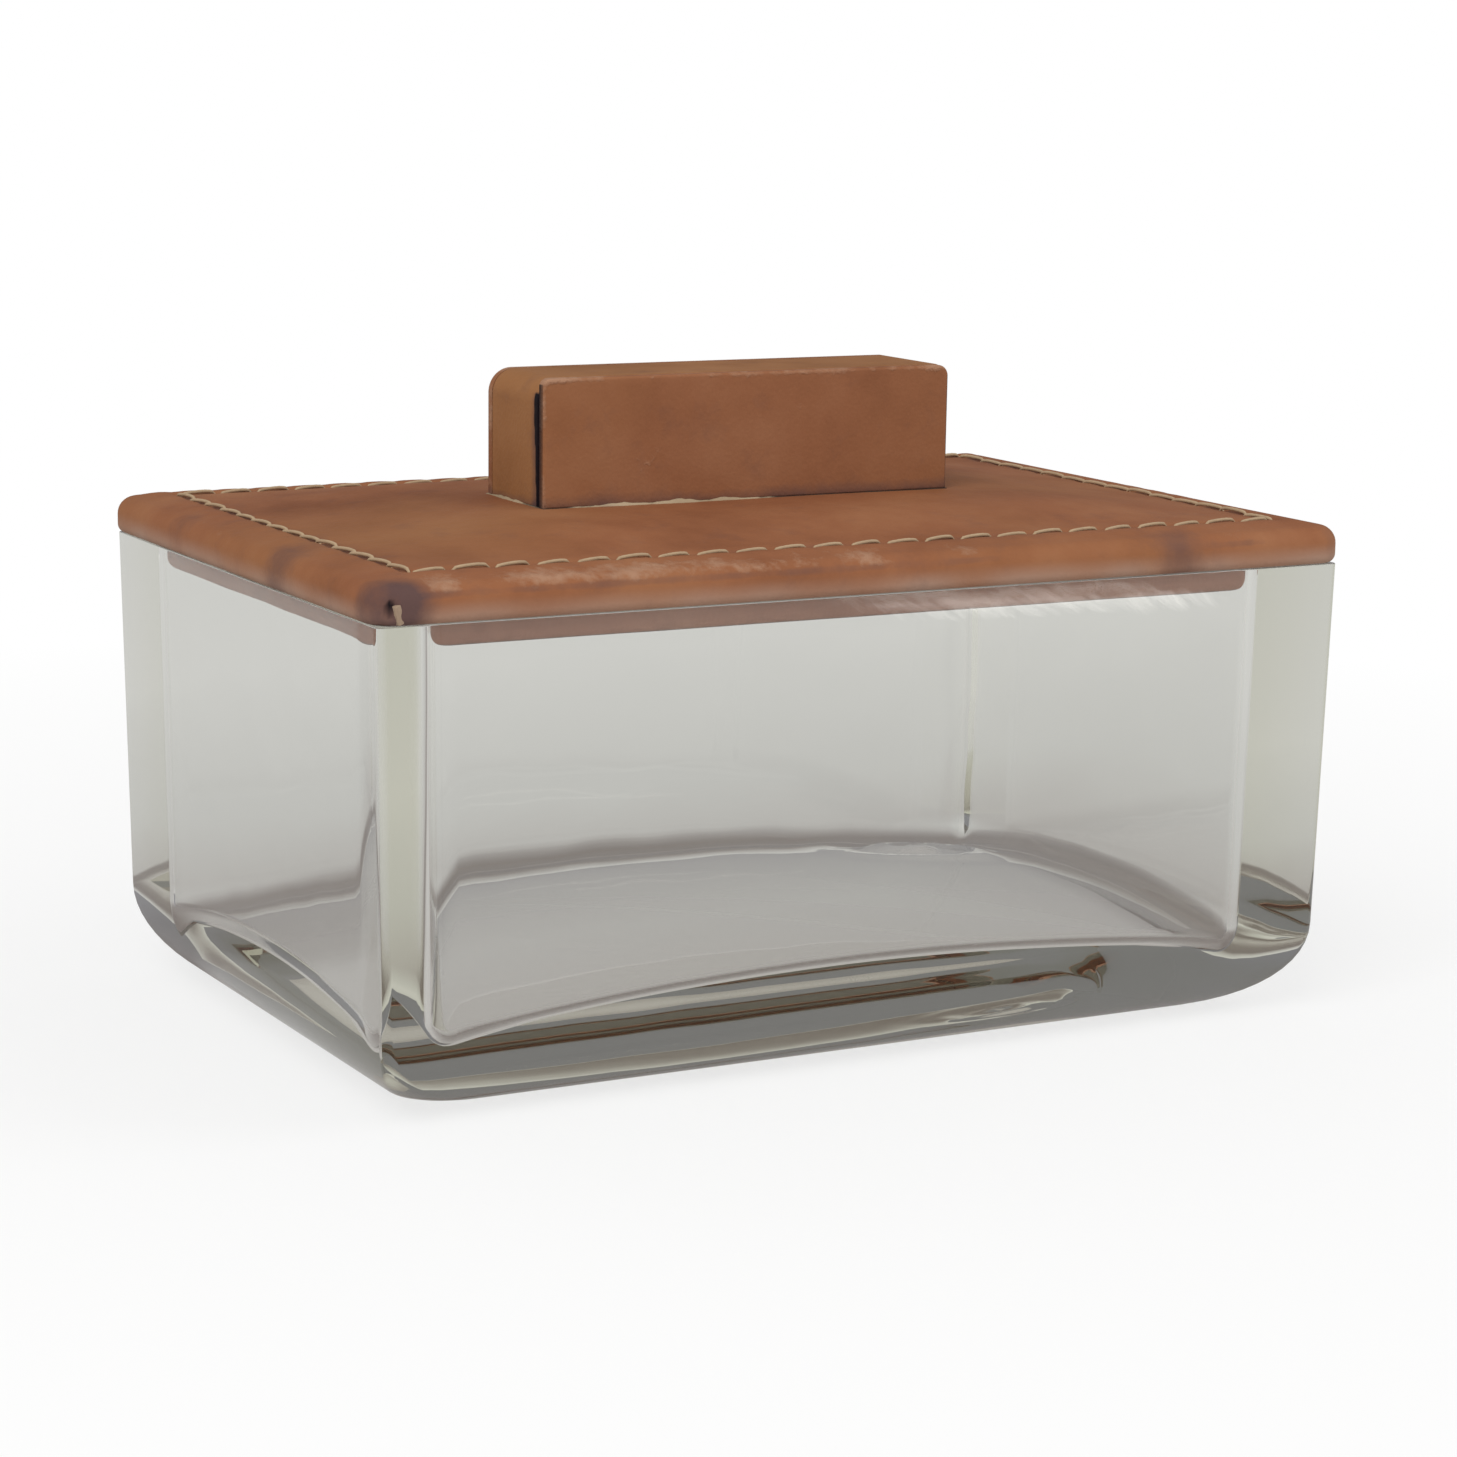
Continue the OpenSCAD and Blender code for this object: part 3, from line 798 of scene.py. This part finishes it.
def makeStitch(form):
    # One stitch along X: a twisted cord whose two ends dive into the leather
    deselectAll()
    bpy.ops.mesh.primitive_cylinder_add(vertices=form["sides"], radius=form["thick"] / 2,
                                        depth=form["length"], rotation=(0, math.radians(90), 0))
    piece = bpy.context.object
    piece.name = "stitch"
    bpy.ops.object.transform_apply(location=False, rotation=True, scale=False)
    bpy.ops.object.mode_set(mode="EDIT")
    editSelect(piece, lambda e: straightAlong(e, 0), "edges")
    bpy.ops.mesh.subdivide(number_cuts=form["cuts"])
    mesh = bmesh.from_edit_mesh(piece.data)
    depth, middle = form["strandDepth"]
    thinner, start = form["taper"]
    for vert in mesh.verts:
        t = 2 * vert.co.x / form["length"]
        turn = math.atan2(vert.co.z, vert.co.y) + form["twists"] * math.pi * t
        swell = 1 + depth * (abs(math.cos(form["strands"] * turn / 2)) - middle)
        taper = 1 - thinner * ease((abs(t) - start) / (1 - start))
        vert.co.y *= swell * taper
        vert.co.z *= swell * taper
        bent = (t - form["crest"]) / (1 + form["crest"] if t < form["crest"] else 1 - form["crest"])
        sink = ease((abs(t) - 1 + form["diveShare"]) / form["diveShare"]) ** 2
        vert.co.z += form["rise"] * (1 - bent * bent) - form["dive"] * sink
    bmesh.update_edit_mesh(piece.data)
    bpy.ops.object.mode_set(mode="OBJECT")
    smoothFaces(piece, form["smooth"])
    return piece


def makeStitchRow(form, lid, model, name, node, start, end, under):
    # Copies of the model stitch from start to end on top of the lid, and the same row under it
    chance = random.Random(form["seed"] + len(name))
    way = Vector(end) - Vector(start)
    count = rowCount(lid, way.length)
    heading = math.atan2(way.y, way.x)
    copies = []
    for i in range(count):
        spot = Vector(start) + way * (i + 0.5) / count
        for height, flip in ((form["overHeight"], 0), (form["underHeight"], math.pi)):
            copy = model.copy()
            copy.data = model.data.copy()
            bpy.context.scene.collection.objects.link(copy)
            turn = heading + math.radians(form["slant"] + chance.uniform(-form["lean"], form["lean"]))
            lift = chance.uniform(-1, 1) * form["uneven"] if not flip else 0
            copy.matrix_world = (Matrix.Translation((spot.x, spot.y, under + height + lift))
                                 @ Matrix.Rotation(turn, 4, "Z") @ Matrix.Rotation(flip, 4, "X"))
            copies.append(copy)
    deselectAll()
    for copy in copies:
        copy.select_set(True)
    bpy.context.view_layer.objects.active = copies[0]
    bpy.ops.object.join()
    row = bpy.context.object
    row.name = row.data.name = name
    bpy.ops.object.transform_apply(location=True, rotation=True, scale=True)
    finishPiece(row, linenThread, "lid", node)


def makeStitches(form, lid):
    low, half = cadSize("lid_cover")
    reachX, reachY = half.x - lid["stitchInset"], half.y - lid["stitchInset"]
    model = makeStitch(form)
    rows = (("stitchFront", "stitch_front", (-reachX, -reachY), (reachX, -reachY)),
            ("stitchBack", "stitch_back", (-reachX, reachY), (reachX, reachY)),
            ("stitchLeft", "stitch_left", (-reachX, reachY), (-reachX, -reachY)),
            ("stitchRight", "stitch_right", (reachX, -reachY), (reachX, reachY)))
    for name, node, start, end in rows:
        makeStitchRow(form, lid, model, name, node, start + (0,), end + (0,), low.z)
    bpy.data.objects.remove(model)


makeStitches(stitchForm, lidForm)
print("stitches made")


plugForm = {
    "round": 1.9 * mm,
    "corner": 4.15 * mm,
    "leather": 1.0 * mm,
    "edgeSteps": 10,
    "leastRadius": 1.2 * mm,
    "floorCorner": 4 * mm,
    "floorRings": (0.1, 0.4, 0.7, 0.93),
    "innerRings": (0.9, 0.1),
    "lip": (0.2 * mm, 0.15 * mm),
    "flesh": (0.3 * mm, 0.25 * mm),
    "corners": 8,
    "cuts": (48, 32),
    "smooth": 60,
}


def makePlugCover(form):
    low, half = cadSize("plug_cover")
    leather = form["leather"]

    def ring(inset, height):
        radius = max(form["corner"] - inset, form["leastRadius"])
        return (half.x - inset, half.y - inset, radius, low.z + height, level)

    def rounding(depth):
        bend = form["round"] - depth
        return [ring(form["round"] - bend * math.sin(a), form["round"] - bend * math.cos(a))
                for a in arc(form["edgeSteps"])]

    def flat(height, shares):
        reachX, reachY = half.x - form["round"], half.y - form["round"]
        return [(k * reachX, k * reachY, k * form["floorCorner"], low.z + height, level) for k in shares]

    rise = 2 * half.z
    lipHeight, lipInset = form["lip"]
    rings = flat(0, form["floorRings"]) + rounding(0)
    rings += [ring(0, rise - lipHeight), ring(lipInset, rise), ring(leather - lipInset, rise)]
    rings += rounding(leather)[::-1] + flat(leather, form["innerRings"])
    piece = loft("plugCover", rings, form["corners"], form["cuts"])
    smoothFaces(piece, form["smooth"])
    height, soft = form["flesh"]
    paint(piece, {"flesh": lambda place: ease((low.z + height - place.z) / soft)})
    finishPiece(piece, plugLeather, "lid", "plug_cover")


makePlugCover(plugForm)
print("plug cover made")


handleForm = {
    "strip": 0.9 * mm,
    "frontCorner": (1.2 * mm, 1.6 * mm),
    "backCorner": (3.5 * mm, 1.1 * mm),
    "backSeam": 0.06 * mm,
    "seam": 0.5 * mm,
    "stripEdge": 0.22 * mm,
    "stripEdgeSteps": 4,
    "stripCuts": ((1, 60), (2, 40), (0, 40)),
    "panelEdge": 0.45 * mm,
    "panelEdgeSteps": 5,
    "panelCuts": ((0, 66), (2, 18)),
    "sink": 0.15 * mm,
    "steps": 14,
    "smooth": 50,
}
handleWear = {
    # dark dyed strip edge and painted shadow of the open seam beside the front panel
    "seamDyeAndShadow": (0.5 * mm, 0.2 * mm),
    "seamRagged": (0.25 * mm, 600),
    "seamOpens": 0.8 * mm,
    "seamTop": 2.2 * mm,
    # darker towards the seam behind the front panel
    "darkerNearSeam": (0.55, 2.6 * mm, 2 * mm),
    # painted shade darkening the foot of the strip where it meets the lid
    "stripFootShade": (0.5, 1.5 * mm),
    # dark dyed cut edge and painted shadow in the seam at the panel's ends
    "sideDyeAndShadow": (0.7 * mm, 0.2 * mm),
    "sideDepth": (0.40 * mm, 0.1 * mm),
    "sideTop": 0.9 * mm,
    "rightDyeAndShadow": (0.9, 0.32 * mm, 0.2 * mm),
    "rightTop": 1.6 * mm,
    # the panel's top and left edges are lighter: partly real wear, partly a painted highlight on the
    # rounded edge
    "edgeWearAndHighlight": 0.42,
    "topWearAndHighlight": (1.5 * mm, 1.2 * mm),
    "leftWearAndHighlight": (0.9 * mm, 0.8 * mm),
    "wornPatch": (0.25, 2.5 * mm, 4 * mm),
    "wornNoise": (0.35, 130),
    # painted shade darkening the foot of the panel where it meets the lid
    "panelFootShade": (0.62, 2.4 * mm),
}


def archedBlock(name, low, high, bends, steps):
    # An upright block with its upper left and upper right ends rounded, each found a hair inside its bend
    deselectAll()
    half = (high.x - low.x) / 2
    bpy.ops.mesh.primitive_cube_add(size=1, location=(low + high) / 2)
    piece = bpy.context.object
    piece.name = piece.data.name = name
    piece.scale = high - low
    bpy.ops.object.transform_apply(location=True, rotation=True, scale=True)
    bpy.ops.object.mode_set(mode="EDIT")
    for way, bend in zip((-1, 1), bends):
        hair = bend / 99
        editSelect(piece, lambda e: straightAlong(e, 1) and e.verts[0].co.z > high.z - hair
                   and way * e.verts[0].co.x > half - hair, "edges")
        bpy.ops.mesh.bevel(offset=bend, segments=steps, affect="EDGES", clamp_overlap=False)
    return piece


def makeHandleWrap(form, wear):
    low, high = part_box("handle_wrap")
    high.y += form["seam"] - form["backSeam"]
    piece = archedBlock("handleWrap", low, high, form["backCorner"], form["steps"])
    editSelect(piece, lambda f: abs(f.normal.y) > 0.9 or f.normal.z < -0.9, "faces")
    bpy.ops.mesh.delete(type="ONLY_FACE")
    for axis, cuts in form["stripCuts"]:
        editSelect(piece, lambda e: straightAlong(e, axis), "edges")
        bpy.ops.mesh.subdivide(number_cuts=cuts)
    bpy.ops.object.mode_set(mode="OBJECT")
    applyModifier(piece, "SOLIDIFY", {"thickness": form["strip"], "offset": -1})
    applyModifier(piece, "BEVEL", {
        "width": form["stripEdge"], "segments": form["stripEdgeSteps"],
        "angle_limit": math.radians(form["smooth"])})
    smoothFaces(piece, form["smooth"])

    def dyed(place):
        # Dark dyed strip edge and painted shadow in the open seam beside the front panel, wider higher up
        depth, size = wear["seamRagged"]
        reach, soft = wear["seamDyeAndShadow"]
        rise = ease((place.z - low.z) / (high.z - low.z))
        ragged = depth * noise.noise(place * size) + wear["seamOpens"] * rise
        return ease((low.y + reach + ragged - place.y) / soft) * (place.z < high.z - wear["seamTop"])

    def soiled(place):
        # Darker towards the seam behind the front panel
        share, reach, soft = wear["darkerNearSeam"]
        # Painted shade at the foot of the strip
        foot, height = wear["stripFootShade"]
        darkerNearSeam = share * ease((low.y + reach - place.y) / soft) * (place.z < high.z - wear["seamTop"])
        return darkerNearSeam + foot * ease((low.z + height - place.z) / height)

    paint(piece, {"soiled": soiled, "dyed": dyed})
    finishPiece(piece, wrapLeather, "lid", "handle_wrap")


def makeHandlePanel(form, wear, name, node, bend):
    low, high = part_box(node)
    middle = (low.y + high.y) / 2
    front = middle < 0
    low.z -= form["sink"]
    piece = archedBlock(name, low, high, bend, form["steps"])
    editSelect(piece, lambda e: abs(e.verts[0].co.y - e.verts[1].co.y) < form["sink"]
               and (e.verts[0].co.y - middle) * middle > 0, "edges")
    bpy.ops.mesh.bevel(offset=form["panelEdge"], segments=form["panelEdgeSteps"], affect="EDGES",
                       clamp_overlap=False)
    for axis, cuts in form["panelCuts"]:
        for i in range(1, cuts):
            spot, way = Vector(low), Vector((axis == 0, 0, axis == 2))
            spot[axis] += (high[axis] - low[axis]) * i / cuts
            bpy.ops.mesh.select_all(action="SELECT")
            bpy.ops.mesh.bisect(plane_co=spot, plane_no=way)
    bpy.ops.object.mode_set(mode="OBJECT")
    smoothFaces(piece, form["smooth"])

    def dyed(place):
        # Only the front panel has the dyed edge and the painted shadow of the seam behind its edges
        reach, soft = wear["sideDyeAndShadow"]
        depth, deeper = wear["sideDepth"]
        share, width, fade = wear["rightDyeAndShadow"]
        side = ease((abs(place.x) - high.x + reach) / soft)
        side *= ease((abs(low.y - place.y) - depth) / deeper) * (place.z < high.z - wear["sideTop"])
        right = share * ease((place.x - high.x + width) / fade) * (place.z < high.z - wear["rightTop"])
        return front * max(side, right)

    # Lighter along the top and left edges, part real wear and part painted highlight, with a worn patch and
    # a noise
    def worn(place):
        (topReach, topSoft), (leftReach, leftSoft) = wear["topWearAndHighlight"], wear["leftWearAndHighlight"]
        top = ease((place.z - high.z + topReach) / topSoft)
        left = ease((low.x + leftReach - place.x) / leftSoft)
        share, away, size = wear["wornPatch"]
        amount, grain = wear["wornNoise"]
        patch = share * bell(place.x - low.x - away, size) * top
        return wear["edgeWearAndHighlight"] * min(top + left, 1) + patch + amount * noise.noise(place * grain)

    def soiled(place):
        # Painted shade: darker towards the foot of the panel, where it meets the lid
        foot, height = wear["panelFootShade"]
        return foot * ease((low.z + height - place.z) / height)

    paint(piece, {"dyed": dyed, "worn": worn, "soiled": soiled})
    finishPiece(piece, panelLeather, "lid", node)


glueForm = {
    "width": 0.7 * mm,
    "height": 0.45 * mm,
    "sink": 0.15 * mm,
    "corner": 0.4 * mm,
    "corners": 3,
    "cuts": (260, 80),
    "frontLumps": ((6, 6, 1), (17, 9, 0.8)),
    "leftLump": (1.1, 2 * mm, 3 * mm, 6 * mm),
    "most": 1.2,
    "roughNoise": (900, 0.4),
    "wideNoise": 210,
    "thick": (0.03, 0.35, 0.75, 0.12),
    "profile": ((0.95, 1, 0), (0.9, 0, 0.05), (0.7, 0, 0.45), (0.4, 0, 0.85), (0.12, 0, 1),
                (-0.25, 0, 1), (-0.3, 1, 0)),
    "spread": (0.15, 0.8),
    # painted shadow: how dark the thin parts of the bead are
    "dye": (0.9, 0.12, 0.25),
    "smooth": 60,
}


def makeGlue(form):
    # Dried glue and raw fibre in a thin uneven bead round the foot of the handle, its thin parts painted
    # black as a shadow line
    low, half = cadSize("handle_glue")
    half = half - Vector((form["width"], form["width"], 0))

    def thick(x, y):
        share, across, behind, along = form["leftLump"]
        least, narrow, full, film = form["thick"]
        size, roughLeast = form["roughNoise"]
        lumps = sum(force * bell(x + place * mm, length * mm)
                    for place, length, force in form["frontLumps"])
        lumps = lumps * (y < 0) + share * bell(x + half.x, across) * bell(y - behind, along)
        rough = roughLeast + 0.5 + 0.5 * noise.noise(Vector((x, y, 2)) * size)
        wide = ease(0.5 + noise.noise(Vector((x, y, 5)) * form["wideNoise"]))
        return (least + min(lumps, form["most"]) * (narrow + full * wide) + film * wide) * rough

    def ring(out, sunk, share):
        def lift(x, y):
            return share * form["height"] * thick(x, y)
        out = out * form["width"]
        return (half.x + out, half.y + out, form["corner"], low.z - sunk * form["sink"], lift)

    rings = [ring(*step) for step in form["profile"]]
    piece = loft("handleGlue", rings, form["corners"], form["cuts"], closed=False)
    least, most = form["spread"]
    for vert in piece.data.vertices:
        out = Vector((max(abs(vert.co.x) - half.x, 0), max(abs(vert.co.y) - half.y, 0), 0))
        spare = out * (1 - min(least + most * thick(vert.co.x, vert.co.y), 1))
        vert.co -= Vector((math.copysign(spare.x, vert.co.x), math.copysign(spare.y, vert.co.y), 0))
    pickOnly(piece)
    bpy.ops.object.mode_set(mode="EDIT")
    editSelect(piece, lambda e: len(e.link_faces) == 1, "edges")
    bpy.ops.mesh.bridge_edge_loops()
    bpy.ops.mesh.select_all(action="SELECT")
    bpy.ops.mesh.normals_make_consistent(inside=False)
    bpy.ops.object.mode_set(mode="OBJECT")
    smoothFaces(piece, form["smooth"])

    def dyed(place):
        # Painted shadow: the thin parts of the bead are black, a dark line under the panel
        share, thin, soft = form["dye"]
        return share - share * ease((thick(place.x, place.y) - thin) / soft)

    paint(piece, {"dyed": dyed})
    finishPiece(piece, driedGlue, "lid", "handle_glue")


makeHandleWrap(handleForm, handleWear)
print("handle wrap made")
makeHandlePanel(handleForm, handleWear, "frontPanel", "handle_front_panel", handleForm["frontCorner"])
makeHandlePanel(handleForm, handleWear, "backPanel", "handle_back_panel", handleForm["backCorner"])
print("handle panels made")
makeGlue(glueForm)
print("handle glue made")

# Floor, backdrop, light and camera

stageLook = {
    "floorSize": 30.0,
    "floorColour": (0.80, 0.80, 0.79, 1),
    "floorRoughness": 0.9,
    "whiteAway": (0.10, 0.34),
    "whiteShare": (0.72, 1.0),
    "seenThrough": 0.85,
    "footprint": (0.073, 0.048, 0),
    "reach": (-0.05, 0.25),
    # painted shadow: the dark band of this ramp is a contact shadow round the foot, seen in the glass
    "through": ((0.0, (0.54, 0.53, 0.52, 1)), (0.11, (0.48, 0.46, 0.45, 1)), (0.15, (0.19, 0.16, 0.15, 1)),
                (0.21, (0.18, 0.15, 0.14, 1)), (0.30, (0.42, 0.40, 0.39, 1)), (0.50, (0.52, 0.52, 0.51, 1)),
                (1.0, (0.63, 0.63, 0.62, 1))),
}


def seenInGlass(tree, ray):
    # 1 for a ray that glass or gloss sends on, 0 for the others
    return calculate(tree, "MAXIMUM", ray["Is Glossy Ray"], ray["Is Transmission Ray"])


def makeStage(look):
    # Floor that turns white away from the box, and a pale grey with a painted shadow round the foot where
    # glass or gloss shows it
    deselectAll()
    bpy.ops.mesh.primitive_plane_add(size=look["floorSize"], location=(0, 0, 0))
    floor = bpy.context.object
    floor.name = "floor"
    made, tree, shader = newMaterial("paleFloor")
    setTerms(tree, shader, {"Base Color": look["floorColour"], "Roughness": look["floorRoughness"]})
    ray = addNode(tree, "ShaderNodeLightPath").outputs
    place = objectPlace(tree)
    away = vectorMath(tree, "LENGTH", place)["Value"]
    white = mapRange(tree, away, look["whiteAway"], look["whiteShare"])
    direct = calculate(tree, "MULTIPLY", ray["Is Camera Ray"], white)
    share = calculate(tree, "MULTIPLY_ADD", seenInGlass(tree, ray), look["seenThrough"], direct)

    # How far a place lies before, behind or to the right of the box's footprint, negative under the box:
    # a painted shadow darkens the floor round the foot there, and none is painted on the left, as if light
    # came in from that side
    flipped = vectorMath(tree, "MULTIPLY", place, (1, -1, 1))[0]
    side = vectorMath(tree, "MAXIMUM", place, flipped)[0]
    beyond = vectorMath(tree, "SUBTRACT", side, look["footprint"])[0]
    parts = addNode(tree, "ShaderNodeSeparateXYZ", {0: beyond}).outputs
    farther = calculate(tree, "MAXIMUM", parts[0], parts[1])
    ring = rampAt(tree, mapRange(tree, farther, look["reach"]), look["through"])
    colour = mixColour(tree, ray["Is Camera Ray"], ring, (1, 1, 1, 1))
    glow = addNode(tree, "ShaderNodeEmission", {"Color": colour, "Strength": 1})
    setSurface(tree, mixShader(tree, share, shader.outputs[0], glow.outputs[0]))
    dress(floor, made)


glareLook = {
    "place": (0.0655, -0.10975, 0.0506),
    "size": (82, 8),  # mm
    "tilt": 2.2,
    "colour": (1, 0.96, 0.92, 1),
    "strength": 2.5,
    "slant": 32,
    "streaks": (0.16, 0.9, 1),
    "streakNoise": (1, 4, 0.6),
    "broken": (2.1, 2.4),
    "along": ((0.0, (0.0, 0.0, 0.0, 1)), (0.10, (0.75, 0.75, 0.75, 1)), (0.35, (1, 1, 1, 1)),
              (0.85, (0.8, 0.8, 0.8, 1)), (1.0, (0.3, 0.3, 0.3, 1))),
    "across": ((0.0, (0.0, 0.0, 0.0, 1)), (0.30, (0.75, 0.75, 0.75, 1)), (0.60, (1, 1, 1, 1)),
               (1.0, (0.0, 0.0, 0.0, 1))),
}


def makeGlare(look):
    # A strip of window light that only gloss shows, broken into streaks
    deselectAll()
    bpy.ops.mesh.primitive_plane_add(size=mm, location=look["place"],
                                     rotation=(math.radians(90), math.radians(look["tilt"]), 0))
    strip = bpy.context.object
    strip.name = "windowGlare"
    strip.scale = look["size"] + (1,)
    made, tree = newMaterial("windowGlare")[:2]
    place = addNode(tree, "ShaderNodeTexCoord").outputs["UV"]
    parts = addNode(tree, "ShaderNodeSeparateXYZ", {0: place}).outputs
    turned = addNode(tree, "ShaderNodeMapping", {
        "Vector": place, "Scale": look["size"] + (1,), "Rotation": (0, 0, math.radians(look["slant"]))})
    drawn = vectorMath(tree, "MULTIPLY", turned.outputs[0], look["streaks"])[0]
    total = noiseAt(tree, drawn, *look["streakNoise"])
    for part, key in ((parts[0], "along"), (parts[1], "across")):
        total = calculate(tree, "ADD", rampAt(tree, part, look[key]), total)
    ray = addNode(tree, "ShaderNodeLightPath").outputs
    bright = mapRange(tree, total, look["broken"], (0, look["strength"]))
    seen = calculate(tree, "MULTIPLY", bright, ray["Is Glossy Ray"])
    glow = addNode(tree, "ShaderNodeEmission", {"Color": look["colour"], "Strength": seen})
    clear = addNode(tree, "ShaderNodeBsdfTransparent")
    both = addNode(tree, "ShaderNodeAddShader", {0: glow.outputs[0], 1: clear.outputs[0]})
    setSurface(tree, both.outputs[0])
    dress(strip, made)


worldLook = {"light": 0.62, "inside": 1.5, "seen": 1.0, "through": 0.23, "tint": (0.97, 0.97, 1.07, 1)}


def makeWorld(look):
    # White for the camera, a soft light for the object, and a dim room where glass or gloss shows it
    world = bpy.data.worlds.new("studio")
    world.use_nodes = True
    tree = world.node_tree
    ray = addNode(tree, "ShaderNodeLightPath").outputs
    direct = calculate(tree, "LESS_THAN", ray["Diffuse Depth"], 0.5)  # no matt surface on the way
    room = calculate(tree, "MULTIPLY", seenInGlass(tree, ray), direct)
    inside = mapRange(tree, ray["Is Transmission Ray"], (0, 1), (look["light"], look["inside"]))
    seen = mapRange(tree, ray["Is Camera Ray"], (0, 1), (inside, look["seen"]))
    setTerms(tree, tree.nodes["Background"], {
        "Color": mixColour(tree, room, (1, 1, 1, 1), look["tint"]),
        "Strength": mapRange(tree, room, (0, 1), (seen, look["through"]))})
    bpy.context.scene.world = world


lampLooks = (
    {"name": "key", "place": (-0.7, -0.6, 0.9), "power": 9, "shows": False},
    {"name": "fill", "place": (0.9, -0.5, 0.6), "power": 4, "shows": True},
)
lampSize = 0.8
lampAim = (0, 0, 0.05)


def addLamp(look):
    light = bpy.data.lights.new(look["name"], "AREA")
    light.shape = "SQUARE"
    light.size = lampSize
    light.energy = look["power"]
    lamp = bpy.data.objects.new(look["name"], light)
    lamp.location = look["place"]
    lamp.rotation_euler = (Vector(lampAim) - lamp.location).to_track_quat("-Z", "Y").to_euler()
    lamp.visible_transmission = False
    lamp.visible_glossy = look["shows"]
    bpy.context.scene.collection.objects.link(lamp)


cameraLook = {
    "place": (-0.25494, -0.47838, 0.14231),
    "yaw": 28.244,
    "pitch": 10.701,
    "roll": 0.806,
    "focalPixels": 3731.3,
    "framePixels": 1457,
    "sensor": 36,
    "clip": (0.01, 20),
}


def makeCamera(look):
    data = bpy.data.cameras.new("camera")
    data.sensor_width = look["sensor"]
    data.lens = look["focalPixels"] * look["sensor"] / look["framePixels"]
    data.clip_start, data.clip_end = look["clip"]
    camera = bpy.data.objects.new("camera", data)
    tilt = Euler((math.radians(90 - look["pitch"]), 0, math.radians(-look["yaw"]))).to_matrix()
    turn = tilt @ Matrix.Rotation(math.radians(look["roll"]), 3, "Z")
    camera.matrix_world = Matrix.Translation(look["place"]) @ turn.to_4x4()
    bpy.context.scene.collection.objects.link(camera)
    bpy.context.scene.camera = camera


makeStage(stageLook)
makeGlare(glareLook)
makeWorld(worldLook)
for lampLook in lampLooks:
    addLamp(lampLook)
makeCamera(cameraLook)
bpy.context.scene.view_settings.view_transform = "Standard"
print("stage, lamps and camera made")
